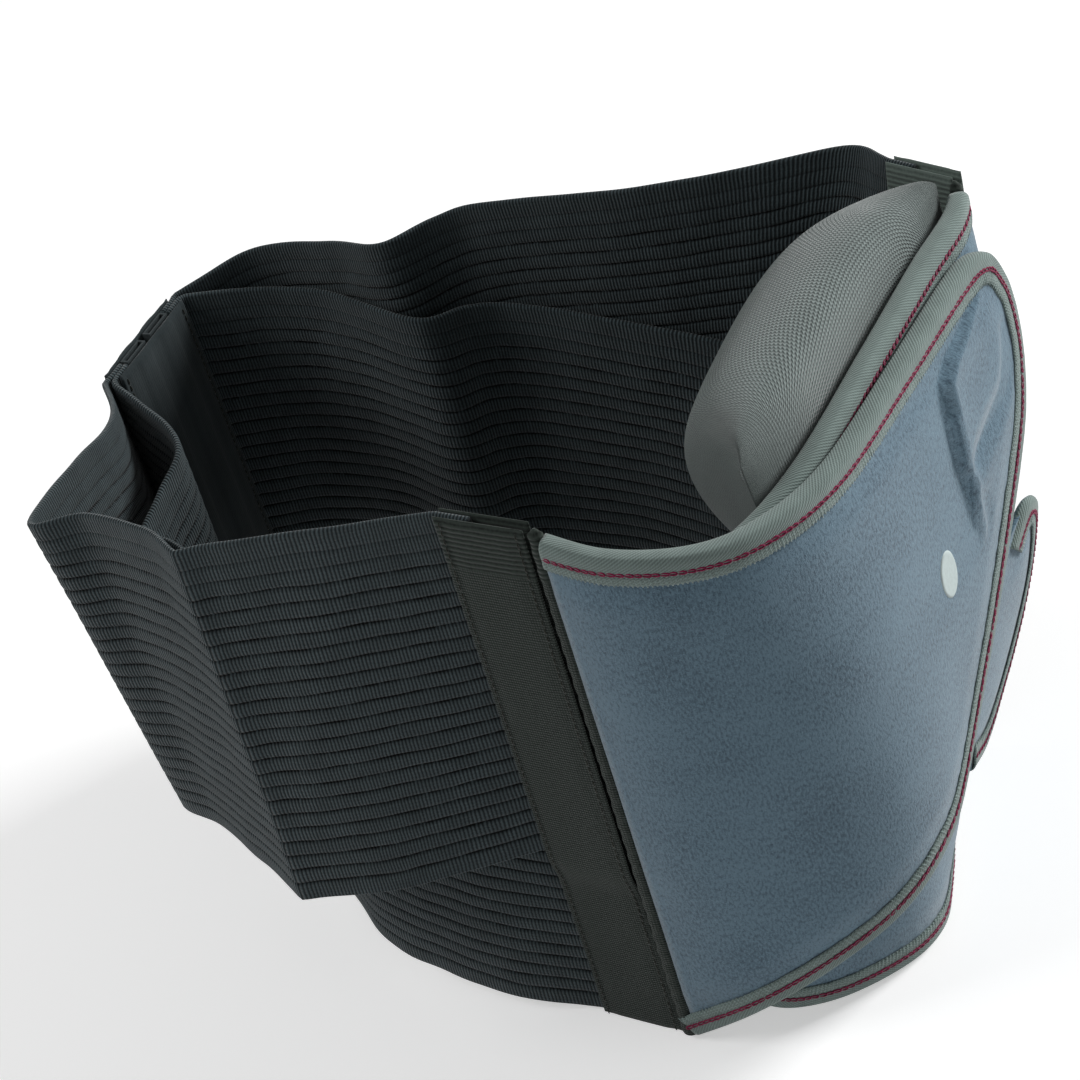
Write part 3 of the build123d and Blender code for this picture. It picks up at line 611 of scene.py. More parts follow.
MAKERS = {
    "elastic": lambda c: elastic_webbing(c, size_mm("rib_pitch")),
    "tape": lambda c: woven_tape("woven_side_tape", c.tape, 0.55),
    # the far tape: the side tape's weave in a paler colour, which is partly painted light
    "far_tape_tone_and_light": lambda c: woven_tape("woven_far_tape_tone_and_light", c.far_tape_tone_and_light, 0.3),
    "strip": strip_cloth, "face": brushed_loop, "lining": smooth_lining, "binding": twill_binding,
    "pad": pad_knit, "foam": open_foam,
    # moulded polyamide hooks, a transfer print over the nap, and cold rolled spring steel
    "hook": lambda c: grained("moulded_hook_tape", 0.42, 0.5, shade(c.hook, 0.7), shade(c.hook, 1.5),
                              pitch_mm=1.5, detail=3.0, depth_mm=0.05),
    "spot": lambda c: grained("white_transfer_print", 0.5, 0.3, shade(c.spot, 0.82), c.spot,
                              pitch_mm=1.3, detail=4.0, depth_mm=0.15),
    "stay": lambda c: grained("rolled_spring_steel", 0.34, 0.5, shade(c.stay, 0.75), c.stay,
                              pitch_mm=0.6, detail=3.0, depth_mm=0.02, drawn=True),
    "thread": lambda c: sewing_thread("maroon_polyester_thread", c.thread),
    "overlock": lambda c: sewing_thread("pale_overlock_thread", c.overlock),
    "seam_thread": lambda c: sewing_thread("dark_seam_thread", c.seam_thread),
}
made_materials = {}


def size_mm(name):
    """One of the sizes that a user may change, in mm."""
    return getattr(bpy.context.scene.belt_sizes, name) * MM


def material(kind):
    """The material of that kind, made the first time that it is asked for."""
    if kind not in made_materials:
        made_materials[kind] = MAKERS[kind](bpy.context.scene.belt_colours)
    return made_materials[kind]


def dress(node, finish):
    """Gives a CAD node that is shown as it is one of the materials."""
    found = frame["nodes"][node]
    found.data.materials.clear()
    found.data.materials.append(finish)


# ---------------------------------------------------------------- elastic bands
BAND_SAMPLES, BAND_STEP = 400, 2.4  # points of a band's plan curve, and mm from row to row of its mesh
TAPE_EXIT = 1.0  # a near band runs straight this far past its tape
STRIP_LEAD, STRIP_ENTRY, LEAD_SPREAD = 3.0, 0.4, 1.7  # mm before the strip: band spreads, and is level


def band_rows(name):
    """Feet and heads of a band, every few millimetres from its side tape to the back strip."""
    near, upper = name.startswith("near"), "upper" in name
    side = -1 if near else 1
    low = HEIGHT - BAND_WIDTH if upper else 0.0
    layer = 0 if upper else BAND_THICKNESS + LAYER_GAP
    depth = TAPE_THICKNESS + LAYER_GAP + BAND_THICKNESS / 2 + layer
    outward = (1 if upper else -1) * (BAND_THICKNESS + LAYER_GAP) / 2
    if near:
        tape, starts = near_tape_point, (TAPE_WIDTH - BAND_TUCK, TAPE_WIDTH + TAPE_EXIT)
    else:
        tape, starts = far_tape_point, (TAPE_WIDTH - BAND_TUCK, TAPE_WIDTH + FAR_BAND_GAP)
        depth += 0.0 if upper else FAR_BAND_SPREAD
    first = [np.concatenate([tape(d, depth, low), tape(d, depth, low + BAND_WIDTH)]) for d in starts]
    ends = [strip_point(side * (STRIP_WIDTH / 2 + STRIP_LEAD), outward * LEAD_SPREAD, 0),
            strip_point(side * (STRIP_WIDTH / 2 + STRIP_ENTRY), outward, 0),
            strip_point(side * BAND_STOP, outward, 0)]
    knots = [(*first[-1][3:5], *first[-1][:2], 0.0), *BANDS[name], (*ends[0][:2], *ends[0][:2], 1.0)]
    t = np.linspace(1 / 3, len(knots) - 1, BAND_SAMPLES)
    plan = np.vstack([along(knots, t)] + [[*e[:2], *e[:2], 1.0] for e in ends[1:]])
    head, foot, share = plan[:, :2], plan[:, 2:4], plan[:, 4]
    upright = np.sqrt(BAND_WIDTH ** 2 - ((head - foot) ** 2).sum(1))
    top = HEIGHT - FAN * share if upper else FAN * share + upright
    rows = np.vstack([*first, np.column_stack([foot, top - upright, head, top])])
    run = travelled((rows[:, :3] + rows[:, 3:]) / 2)
    even = np.linspace(0, run[-1], int(run[-1] / BAND_STEP))
    rows = np.stack([np.interp(even, run, rows[:, k]) for k in range(6)], 1)
    at_tape = (depth, low, run[1], run[2] - run[1])
    crease = np.hypot(*(rows[:, 3:5] - CREASES[name]).T).argmin() if name in CREASES else None
    return rows, even, (None if near else at_tape), crease


PLAIN_TOP, PLAIN_LOW = 6.5, 8.0  # margins of a band without grooves
GROOVE_BREADTH = 0.5
# How a groove strays sideways: shift from one groove to the next, pitch, size, and what is added to the seed.
STRAYS = ((37.0, 34.0, 0.35, 0), (5.0, 11.0, 0.12, 9))
STRAY_REACH = 2.0
UNEVEN_SHARE, UNEVEN_SHIFT, UNEVEN_PITCH = 0.28, 61.0, 23.0  # how much the grooves' depth varies along them
SHALLOW_TOP, SHALLOW_FADE, SHALLOW_SHARE = 9.0, 14.0, 0.35  # the uppermost grooves are shallower
RIB_SWELL, RIB_SINK, RIB_REACH = 0.10, 0.06, 1.2  # the ribs swell between grooves
SELVEDGE = 1.1  # a cloth edge is rounded over this distance
SLACK, SLACK_PITCH, SLACK_LEAN, SLACK_FADE = 0.35, 31.0, 0.35, 25.0  # waves of the whole band
CREASE_BREADTH, CREASE_POWER = 4.5, 1.3


def across_band(pitch):
    """Heights across a band, close together at its grooves, and how deep in a groove each is."""
    grooves = np.arange(PLAIN_LOW, BAND_WIDTH - PLAIN_TOP, pitch)
    near_line = np.array([-1.8, -0.7, -0.3, 0, 0.3, 0.7, 1.8])
    edges = np.array([0, 0.25, 0.6, 1.1, 2.5, 5])
    heights = np.concatenate([(grooves[:, None] + near_line).ravel(), grooves[:-1] + pitch / 2, edges,
                              BAND_WIDTH - edges, np.linspace(BAND_WIDTH - PLAIN_TOP + 3, BAND_WIDTH - 6, 3)])
    heights = np.unique(np.round(heights, 3))
    nearest = np.abs(heights[:, None] - grooves).argmin(1)
    off = heights - grooves[nearest]
    return heights, np.exp(-(off / GROOVE_BREADTH) ** 2), nearest, np.abs(off)


def build_band(name, seed):
    """Elastic band: straight from foot to head in each upright section, with half its thickness to each
    side, less where a groove runs along it and rounded at its selvedges."""
    rows, run, far, crease = band_rows(name)
    heights, groove, nearest, off = across_band(size_mm("groove_pitch"))
    share = heights / BAND_WIDTH
    foot, head = rows[:, None, :3], rows[:, None, 3:]
    line = run[:, None]
    stray = sum(ripple(line + shift * nearest, pitch, seed + more) * size * np.exp(-off / STRAY_REACH)
                for shift, pitch, size, more in STRAYS)
    middle = foot + (head - foot) * (share + stray / BAND_WIDTH * (share > 0.03) * (share < 0.97))[..., None]
    if far:
        depth, low, edge_run, fade = far
        z = low + BAND_WIDTH * share
        edge = TAPE_WIDTH + FAR_BAND_GAP
        start, end = far_tape_point(edge, depth, low), far_tape_point(edge, depth, low + BAND_WIDTH)
        lean = far_tape_point(edge, depth, z) - (start + (end - start) * share[:, None])
        middle = middle + lean[None] * np.clip(1 - (run - edge_run) / fade, 0, 1)[:, None, None]
    plan_run = np.gradient(rows[:, :2] + rows[:, 3:5], axis=0)
    normal = unit(np.stack([plan_run[:, 1], -plan_run[:, 0], np.zeros(len(run))], 1))[:, None]
    uneven = 1 - UNEVEN_SHARE + UNEVEN_SHARE * ripple(line + UNEVEN_SHIFT * nearest, UNEVEN_PITCH, seed + 4)
    from_top = smooth_step((BAND_WIDTH - heights - SHALLOW_TOP) / SHALLOW_FADE)
    uneven = uneven * (SHALLOW_SHARE + (1 - SHALLOW_SHARE) * from_top)
    depth_here = groove * uneven * size_mm("groove_depth")
    swell = RIB_SWELL * (1 - np.exp(-off / RIB_REACH)) - RIB_SINK
    edge_share = rounded(np.minimum(heights, BAND_WIDTH - heights), SELVEDGE)
    half = (BAND_THICKNESS / 2 + swell - depth_here) * edge_share
    slack = SLACK * ripple(line + SLACK_LEAN * heights, SLACK_PITCH, seed + 2)
    slack = slack * smooth_step(np.minimum(run, run[-1] - run) / SLACK_FADE)[:, None]
    if crease is not None:
        side = -1 if name.startswith("near") else 1
        away = np.abs(run - run[crease]) / CREASE_BREADTH
        slack = slack + side * CREASE_RISE * np.exp(-away ** CREASE_POWER)[:, None]
    front = middle + normal * (half + slack)[..., None]
    back = middle - normal * (half - slack)[..., None]
    # relief: how deep each point lies in a groove, which the elastic's material paints as shade
    made = sheet_piece(f"{name}_webbing", front, back, pairs(line, heights[None]), material("elastic"),
                       "belt", "elastic_webbing", (name,), relief=groove * uneven)
    return made


# ---------------------------------------------------------------- thread
def thread_ring(segments=10, sides=5):
    """One link of chain stitch in a 1 x 1 x 1 space: a long loop, wider at its head, carried by a round
    thread. Columns are along, across and up."""
    turn = np.linspace(0, 2 * math.pi, segments, endpoint=False)[:, None]
    roll = np.linspace(0, 2 * math.pi, sides, endpoint=False)[None]
    reach, wide = np.cos(turn), np.sin(turn) * (0.85 + 0.35 * np.cos(turn))
    thick = 0.25
    return np.stack([0.62 * reach + thick * 0.55 * np.cos(roll) * reach,
                     0.36 * wide + thick * 0.9 * np.cos(roll) * np.sin(turn),
                     0.28 * reach + 0.9 * thick * np.sin(roll)], -1).reshape(-1, 3), tube_faces(
                         segments, sides, closed=True)


def thread_stroke(segments=5, sides=6):
    """One stitch lying on cloth: a round thread that rises at mid-length and sinks at both ends. Columns are
    along the seam, along the stitch and up."""
    t = np.linspace(0, 1, segments)[:, None]
    roll = np.linspace(0, 2 * math.pi, sides, endpoint=False)[None]
    radius = 0.5 * (0.55 + 0.45 * np.sin(math.pi * t))
    return np.stack(np.broadcast_arrays(radius * np.cos(roll), t - 0.5 + 0 * roll,
                                        radius * np.sin(roll) + 0.55 * np.sin(math.pi * t)),
                    -1).reshape(-1, 3), tube_faces(segments, sides)


def stitch_run(place, length_mm, pitch, seed, size, shape, skew=0.0):
    """Copies of a stitch every pitch along a line. place(along, across, up) gives a point in mm."""
    template, faces = shape
    rng = np.random.default_rng(seed)
    at = np.arange(pitch * 0.6, length_mm - pitch * 0.5, pitch)
    at = at + rng.normal(0, 0.05 * pitch, len(at))
    scale = np.array(size) * (1 + rng.normal(0, 0.06, (len(at), 1, 3)))
    local = template[None] * scale
    points = place(at[:, None] + local[..., 0] + skew * local[..., 1], local[..., 1], local[..., 2])
    return points.reshape(-1, 3), repeated(faces, len(template), len(at))


def seam_row(place, length_mm, seed):
    """Row of single stitches that lie along a seam."""
    points, faces = thread_stroke()
    pitch = size_mm("seam_pitch")
    return stitch_run(place, length_mm, pitch, seed, (pitch * 0.82, 0.55, 0.5), (points[:, [1, 0, 2]], faces))


def joined(runs):
    """Several lists of points and faces as one."""
    starts = np.cumsum([0] + [len(p) for p, _ in runs])
    return np.vstack([p for p, _ in runs]), np.vstack([f + k for (_, f), k in zip(runs, starts)])


# ---------------------------------------------------------------- flaps
def edge_spots(outline):
    """Station and height along a flap's free edge: out along the top, round the tip and back below."""
    rows = np.array(outline)
    spots = np.vstack([rows[:, [0, 2]], rows[::-1, :2]])
    spots[:, 1] = np.maximum(spots[:, 1] * HEIGHT, EDGE_ROOM)
    return spots


EDGE_SAMPLES, EDGE_STEP = 3000, 1.2  # points of a free edge's curve, and mm from one kept point to the next


def free_edge(outline, extra, depth):
    """Even steps along a free edge, with the change of station and height for each millimetre into the
    flap: the inward direction is the run crossed with the wall's normal, down at the upper edge."""
    spots = edge_spots(outline)
    t = np.linspace(0, len(spots) - 1, EDGE_SAMPLES)
    station, height = along(spots, t).T
    height = np.maximum(height, EDGE_ROOM)
    run = travelled(wall(station, height, -depth, extra))
    even = np.linspace(0, run[-1], int(run[-1] / EDGE_STEP))
    station, height = np.interp(even, run, station), np.interp(even, run, height)
    by_station = (wall(station + STATION_STEP, height, -depth, extra)
                  - wall(station - STATION_STEP, height, -depth, extra)) / (2 * STATION_STEP)
    by_height = (wall(station, height + 1, -depth, extra) - wall(station, height - 1, -depth, extra)) / 2
    heading = np.gradient(wall(station, height, -depth, extra), even, axis=0)
    inward = unit(np.cross(heading, unit(np.cross(by_station, by_height))))
    inward *= -np.sign((inward * by_height).sum(1)[0])
    aa, bb, ab = ((p * q).sum(1) for p, q in ((by_station, by_station), (by_height, by_height),
                                              (by_station, by_height)))
    a, b = (inward * by_station).sum(1), (inward * by_height).sum(1)
    det = aa * bb - ab * ab
    return {"run": even, "station": station, "height": height, "depth": depth, "extra": extra,
            "per_station": (a * bb - b * ab) / det, "per_height": (b * aa - a * ab) / det}


def from_station(edge, station):
    """The rest of a free edge, from where its upper side passes a station."""
    first = int(np.argmax(edge["station"] >= station))
    rest = {key: value[first:] if isinstance(value, np.ndarray) else value for key, value in edge.items()}
    rest["run"] = rest["run"] - rest["run"][0]
    return rest


def edge_point(edge, run, inward, outward):
    """Point beside a free edge: run along it, inward over the flap, and outward from its face."""
    run, inward, outward = np.broadcast_arrays(run, inward, outward)
    at = {k: np.interp(run, edge["run"], edge[k]) for k in ("station", "height", "per_station", "per_height")}
    return wall(at["station"] + inward * at["per_station"], at["height"] + inward * at["per_height"],
                outward - edge["depth"], edge["extra"])


FOLD_PITCH = STATION_PITCH * 1.15  # the wall is longer per station where the folds are


def fold_distance(station, height, fold):
    """Distance to a drawn fold, its strength there, and which side of it a point is on."""
    line, reach = np.array(fold[0], float), fold[1]
    dense = np.linspace(0, len(line) - 1, 160)
    spots = np.stack([np.interp(dense, np.arange(len(line)), line[:, k]) for k in range(3)], 1)
    dx = (station[..., None] - spots[:, 0]) * FOLD_PITCH
    dz = height[..., None] - spots[:, 1]
    distance = np.hypot(dx, dz)
    nearest = distance.argmin(-1)
    heading = np.gradient(spots[:, :2] * (FOLD_PITCH, 1), axis=0)[nearest]
    pick = [np.take_along_axis(d, nearest[..., None], -1)[..., 0] for d in (dx, dz)]
    side = heading[..., 0] * pick[1] - heading[..., 1] * pick[0]
    end = np.minimum(nearest, len(dense) - 1 - nearest) / 12
    return distance.min(-1), spots[nearest, 2] * np.clip(end, 0.15, 1), side, reach


FLAP_SAMPLES, FLAP_STEP, FLAP_ROWS = 1500, 2.2, 96  # points of the middle line, mm between columns, rows


def flap_grid(outline):
    """Grid of a flap from its seam to its tip: column by column between the matching points of its upper and
    lower edges. The last column is close to the tip, inside the binding."""
    spots = edge_spots(outline)
    half = (len(spots) - 1) / 2
    t = np.linspace(0, half, FLAP_SAMPLES)
    middle = wall(*along(spots, t).T, 0)
    run = travelled(middle)
    share = np.linspace(0, 1, int(run[-1] / FLAP_STEP) + 1) ** 0.96 * 0.997
    t = np.interp(share * run[-1], run, t)
    upper, lower = along(spots, t), along(spots, 2 * half - t)
    lower[:, 1] = np.maximum(lower[:, 1], EDGE_ROOM)
    v = crowded(np.linspace(0, 1, FLAP_ROWS))[None, :, None]
    grid = lower[:, None] + (upper - lower)[:, None] * v
    return grid[..., 0], grid[..., 1]


def edge_clearance(points, edge):
    """Shortest distance from each point to the flap's free edge, worked out in blocks."""
    line = edge_point(edge, edge["run"], 0.0, 0.0)
    flat = points.reshape(-1, 3)
    found = np.concatenate([np.sqrt(((block[:, None] - line) ** 2).sum(-1).min(1))
                            for block in np.array_split(flat, 12)])
    return found.reshape(points.shape[:-1])


def cloth_weave(station, height, edge):
    """Thread directions over the wall in mm: along the loop, and up."""
    line = np.linspace(0, 9, 400)
    run = travelled(wall(line, HEIGHT / 2, 0.0, edge["extra"]))
    return np.stack([np.interp(station, line, run), height], -1)


PUFF_REACH, SEAM_REACH = 15.0, 12.0  # from the binding and from the seam to where the padding is full
PUCKER, PUCKER_PITCH, PUCKER_MIDDLE, PUCKER_REACH = 0.22, 8.5, 11.0, 3.5  # beside the stitches
UNEVEN_RISE, UNEVEN_WIDE, UNEVEN_HIGH = 0.40, 70.0, 60.0  # size and pitches of the soft unevenness
FOLD_PUFF, FOLD_SINK, FOLD_TURN = 0.72, -0.38, 2.6  # the tip's fold: rise, sink beside it, and their border
CROSS_SHARE, CREASE_SHARE = 0.62, 0.4  # depth of the other folds beside the tip's fold


def flap_relief(station, height, clearance, root, seed, folds):
    """How far a flap's padding rises: nothing under the binding, full a little way in, with a shallow pucker
    at the stitches, soft unevenness, and for the outer flap the folds near its tip."""
    puff = size_mm("puff")
    from_seam = np.abs(station - root) * STATION_PITCH
    rise = puff * smooth_step((clearance - BINDING_WIDTH - 1) / PUFF_REACH)
    rise *= 0.35 + 0.65 * smooth_step(from_seam / SEAM_REACH)
    pucker = np.exp(-np.abs(clearance - PUCKER_MIDDLE) / PUCKER_REACH) * (clearance > BINDING_WIDTH)
    rise += PUCKER * ripple(station * STATION_PITCH * 1.1 + height * 0.5, PUCKER_PITCH, seed) * pucker
    uneven = ripple(station * STATION_PITCH, UNEVEN_WIDE, seed + 1) * ripple(height, UNEVEN_HIGH, seed + 2)
    rise += UNEVEN_RISE * uneven * smooth_step((clearance - 9) / 12)
    if folds:
        deep = size_mm("fold_depth")
        distance, strength, side, reach = fold_distance(station, height, TIP_FOLD)
        puffy = FOLD_PUFF * deep * np.exp(-distance / reach)
        sunk = FOLD_SINK * deep * np.exp(-distance / (1.4 * reach))
        over = smooth_step(0.5 + np.sign(side) * distance / FOLD_TURN)
        rise += strength * (sunk + (puffy - sunk) * over)
        for fold, depth in ((TIP_CROSS, CROSS_SHARE * deep), (TIP_CREASE, CREASE_SHARE * deep)):
            distance, strength, _, reach = fold_distance(station, height, fold)
            rise -= strength * depth * np.clip(1 - distance / reach, 0, 1) ** 1.4
    return np.maximum(rise, -0.12)


def build_flap(name, body, outline, depth, extra, seed, folds=False):
    """Face, foam and lining of a flap, with its binding, chain stitch and overlock strokes."""
    edge = free_edge(outline, extra, depth)
    station, height = flap_grid(outline)
    middle = wall(station, height, -depth, extra)
    clearance = edge_clearance(middle, edge)
    rise = flap_relief(station, height, clearance, outline[0][0], seed, folds)
    back_rise = 0.35 * size_mm("puff") * smooth_step((clearance - BINDING_WIDTH) / PUFF_REACH)
    weave = cloth_weave(station, height, edge)
    size = (np.ptp(weave[..., 0]), np.ptp(height))
    layers = (("face", FACE, "face", "loop_face", rise, rise), ("foam", FOAM, "foam", "foam", rise, 0 * rise),
              ("lining", LINING, "lining", "lining", 0 * rise, -0.25 * back_rise))
    top, made = depth, {}
    for layer, thick, finish, slot, outer_rise, inner_rise in layers:
        front = wall(station, height, -top + outer_rise, extra)
        back = wall(station, height, -top - thick + inner_rise, extra)
        kind = "core" if layer == "foam" else "cloth"
        made[layer] = sheet_piece(f"{name}_{layer}_{kind}", front, back, weave, material(finish), body, slot,
                                  (f"{name}_{layer}",))
        top += thick + LAYER_GAP
    build_binding(name, body, edge, FLAP, seed)
    build_stitching(name, body, edge, FLAP, seed)


BINDING_OFF = 0.55  # the binding's middle line stands this far off both faces
BINDING_POINTS, BINDING_STEP, BINDING_ROUND = 49, 1.3, 0.5  # points across it, mm along it, and its edges
# Puckers of the binding: pitch, size and what is added to the seed, for those of each leg and of both.
LEG_PUCKER, BOTH_PUCKER, EDGE_PUCKER = (5.4, 0.13, 20), (19.0, 0.10, 21), (9.0, 0.28, 22)


def build_binding(name, body, edge, thick, seed):
    """Binding: a folded strip of constant thickness, its middle line drawn as a U round the flap's edge and
    carried along it, with small puckers between the stitches."""
    up, down, reach = BINDING_OFF, -thick - BINDING_OFF, BINDING_WIDTH
    line = [(reach + BINDING_HEM, up - 0.2), (reach + BINDING_HEM / 2, up + 0.12), (reach, up - 0.05),
            (reach * 0.8, up + 0.16), (reach * 0.5, up + 0.24), (reach * 0.25, up + 0.2),
            (0.9, up), (0.15, up - 0.5), (-0.35, up - 1.2), (-0.58, -thick / 2), (-0.35, down + 1.2),
            (0.15, down + 0.5), (0.9, down), (reach * 0.25, down - 0.2), (reach * 0.5, down - 0.24),
            (reach * 0.8, down - 0.16), (reach, down)]
    line = along(line, np.linspace(0, len(line) - 1, BINDING_POINTS))
    heading = unit(np.gradient(line, axis=0))
    normal = np.stack([heading[:, 1], -heading[:, 0]], 1)
    width = travelled(line)
    half = BINDING_THICKNESS / 2 * rounded(np.minimum(width, width[-1] - width), BINDING_ROUND)[:, None]
    section = np.vstack([line - normal * half, (line + normal * half)[::-1]])
    across = np.concatenate([width, width[::-1]])
    run = np.arange(0, edge["run"][-1] + 0.01, BINDING_STEP)
    leg = np.clip(section[:, 0] / reach, 0, 1)
    sign = np.sign(section[:, 1] + thick / 2)
    line = run[:, None]
    leg_wave, both_wave, edge_wave = (size * ripple(line + shift * sign, pitch, seed + more)
                                      for shift, (pitch, size, more) in
                                      ((3, LEG_PUCKER), (0, BOTH_PUCKER), (50, EDGE_PUCKER)))
    pucker = leg_wave + both_wave
    inward = section[:, 0] + leg ** 2 * edge_wave
    points = edge_point(edge, line, inward, section[:, 1] + sign * pucker * leg * (1 - 0.6 * leg))
    return piece(f"{name}_binding_tape", points, tube_faces(len(run), len(section)), material("binding"),
                 body, "binding", (f"{name}_binding",), pairs(line, across))


CHAIN_LIFT = 0.98  # the chain stitch's middle stands this far off the flap
# Overlock strokes of both faces: past the binding, off the face, and length.
OVERLOCK = ((1, 2.2, 0.72, 4.0), (-1, 0.9, 0.3, 3.2))


def build_stitching(name, body, edge, thick, seed, stands_for=True):
    """Maroon chain stitch on both legs of the binding, and pale overlock strokes over its inner border."""
    length_mm = edge["run"][-1]
    row = BINDING_WIDTH - STITCH_INSET - STITCH_WIDTH / 2
    pitch = size_mm("link_pitch")
    outer = stitch_run(lambda a, b, c: edge_point(edge, a, row + b, CHAIN_LIFT + c), length_mm, pitch,
                       seed + 30, (pitch * 0.98, 1.75, 1.0), thread_ring())
    inner = stitch_run(lambda a, b, c: edge_point(edge, a, row + b, -thick - CHAIN_LIFT - c), length_mm,
                       pitch, seed + 31, (pitch * 0.98, 1.5, 0.9), thread_ring())
    piece(f"{name}_chain_stitch", *joined([outer, inner]), material("thread"), body, "thread",
          (f"{name}_stitching",) if stands_for else ())
    strokes = [stitch_run(lambda a, b, c, sign=sign: edge_point(
        edge, a, BINDING_WIDTH + past + b, (sign < 0) * -thick + sign * (off - 0.05 * b + c)), length_mm,
        size_mm("stroke_pitch"), seed + 32, (0.85, size, 0.3), thread_stroke(), skew=0.18)
        for sign, past, off, size in OVERLOCK]
    piece(f"{name}_overlock", *joined(strokes), material("overlock"), body, "binding")


# ---------------------------------------------------------------- operators
class BeltOperator:
    """What the belt's operators share."""

    bl_options = {"REGISTER", "UNDO"}


class BELT_OT_bands(BeltOperator, bpy.types.Operator):
    """Four grooved elastic bands from the side tapes to the back strip"""

    bl_idname = "belt.bands"
    bl_label = "Elastic bands"

    def execute(self, context):
        for seed, name in enumerate(BANDS):
            build_band(name, 100 + 10 * seed)
        return {"FINISHED"}


def tape_press(z, inner):
    """How far in a tape is pressed where only one band is left between the two: the inner tape moves out
    above the lower band, and the outer tape moves in below the upper band."""
    missing = BAND_THICKNESS + LAYER_GAP
    if inner:
        return -missing * smooth_step((z - BAND_WIDTH - 1) / 16)
    return missing * smooth_step((HEIGHT - BAND_WIDTH - 1 - z) / 16)


TAPE_LIFT, TAPE_PULL = 0.35, 0.15  # a tape's face rises between its rows of stitches, which pull it in
TAPE_WAVE, TAPE_WAVE_PITCH, TAPE_WAVE_LEAN = 0.22, 27.0, 0.6
TAPE_SWAY, TAPE_SWAY_PITCH, TAPE_SWAY_FADE = 0.25, 60.0, 20.0
NEAR_EDGE = [0, 0.3, 0.8, 1.5]  # mm from a cloth edge where its mesh has points


def tape_layer(name, point, outer, inner, puffy, finish, stands_for):
    """Woven tape: an upright sheet between two depths, pulled in along its two rows of stitches."""
    z = np.linspace(0, HEIGHT, 95)[:, None]
    d = np.concatenate([NEAR_EDGE, np.linspace(2.4, TAPE_WIDTH - 2.4, 22),
                        TAPE_WIDTH - np.array(NEAR_EDGE[::-1])])[None]
    edge = np.minimum(np.minimum(d, TAPE_WIDTH - d), np.minimum(z, HEIGHT - z))
    half = (inner - outer) / 2 * rounded(edge, SELVEDGE)
    row = np.minimum(np.abs(d - ROW_INSET), np.abs(TAPE_WIDTH - ROW_INSET - d))
    pressed = tape_press(z, outer > 0)
    wavy = TAPE_WAVE * ripple(z + TAPE_WAVE_LEAN * d, TAPE_WAVE_PITCH, 77) * smooth_step(row / 6)
    lift = puffy * (TAPE_LIFT * smooth_step(row / 5) - TAPE_PULL + wavy)
    sway = TAPE_SWAY * ripple(z, TAPE_SWAY_PITCH, 78)
    sway = sway * smooth_step(z / TAPE_SWAY_FADE) * smooth_step((HEIGHT - z) / TAPE_SWAY_FADE)
    middle = (outer + inner) / 2 + pressed
    front = point(d + sway, middle - half - np.maximum(lift, -0.1), z)
    back = point(d + sway, middle + half, z)
    made = sheet_piece(name, front, back, pairs(d, z), material(finish), "belt", "tape", stands_for)
    return made


def tape_rows(name, point, stands_for):
    """Two upright rows of single stitches on a tape."""
    rows = joined([seam_row(lambda a, b, c, e=e: point(e + b, tape_press(a, False) - 0.12 - c, a),
                            HEIGHT - 1, seed) for seed, e in ((61, ROW_INSET), (62, TAPE_WIDTH - ROW_INSET))])
    return piece(name, *rows, material("seam_thread"), "belt", "dark_thread", stands_for)


class BELT_OT_tapes(BeltOperator, bpy.types.Operator):
    """Outer and inner woven tapes of both sides, with their rows of stitches"""

    bl_idname = "belt.tapes"
    bl_label = "Side tapes"

    def execute(self, context):
        for side, point in (("near", near_tape_point), ("far", far_tape_point)):
            # The far tape's paler colour is partly painted light.
            finish = "tape" if side == "near" else "far_tape_tone_and_light"
            tape_layer(f"{side}_tape_weave", point, 0.0, TAPE_THICKNESS, 1.0, finish,
                       (f"{side}_tape_outer",))
            tape_layer(f"{side}_tape_backing", point, TAPE_THICKNESS + SANDWICH, TAPE_STACK, 0.0, finish,
                       (f"{side}_tape_inner",))
            tape_rows(f"{side}_tape_rows", point, (f"{side}_tape_stitching",))
        return {"FINISHED"}


WHIP, WHIP_PITCH, CORD_WAVE, CORD_WAVE_PITCH = 0.16, 3.4, 0.10, 22.0  # the cord's ridges and unevenness
CORD_SINK, CORD_ROUND = 0.15, 1.2


class BELT_OT_seams(BeltOperator, bpy.types.Operator):
    """Folded cords that close the two side seams, whipped with dark thread"""

    bl_idname = "belt.seams"
    bl_label = "Seam cords"

    def execute(self, context):
        """Cord: rings up the seam, ridged by its thread. The near one's are broader than deep."""
        z = np.linspace(0, HEIGHT, 100)[:, None]
        turn = np.linspace(0, 2 * math.pi, 24, endpoint=False)[None]
        radius = CORD_DIAMETER / 2
        wave = WHIP * np.sin(2 * math.pi * z / WHIP_PITCH + turn) + CORD_WAVE * ripple(z, CORD_WAVE_PITCH, 5)
        size = (radius - CORD_SINK + wave) * rounded(np.minimum(z, HEIGHT - z), CORD_ROUND)
        broad, deep = (size / radius * value for value in SEAM_FOLD)
        middle = (wall(FAR_ROOT, z, -UNDER_DEPTH - FLAP / 2) + far_tape_point(0, TAPE_STACK / 2, z)) / 2
        cords = {"near": near_tape_point(-SEAM_FOLD_MIDDLE + broad * np.cos(turn),
                                         radius + deep * np.sin(turn), z),
                 "far": middle + np.stack([size * np.cos(turn), size * np.sin(turn), 0 * size], -1)}
        for side, points in cords.items():
            piece(f"{side}_seam_fold", points, tube_faces(len(z), turn.shape[1]), material("tape"),
                  "belt", "tape", (f"{side}_seam_cord",), pairs(radius * turn, z))
        return {"FINISHED"}


# The back strip's outside rises over its stays, is pulled in at its stitches, and is a little uneven.
STAY_RISE, STAY_SPREAD, ROW_PULL, ROW_REACH = 0.55, 0.42, 0.35, 1.4
STRIP_WAVE, STRIP_WAVE_PITCH, STRIP_WAVE_LEAN = 0.2, 33.0, 0.4


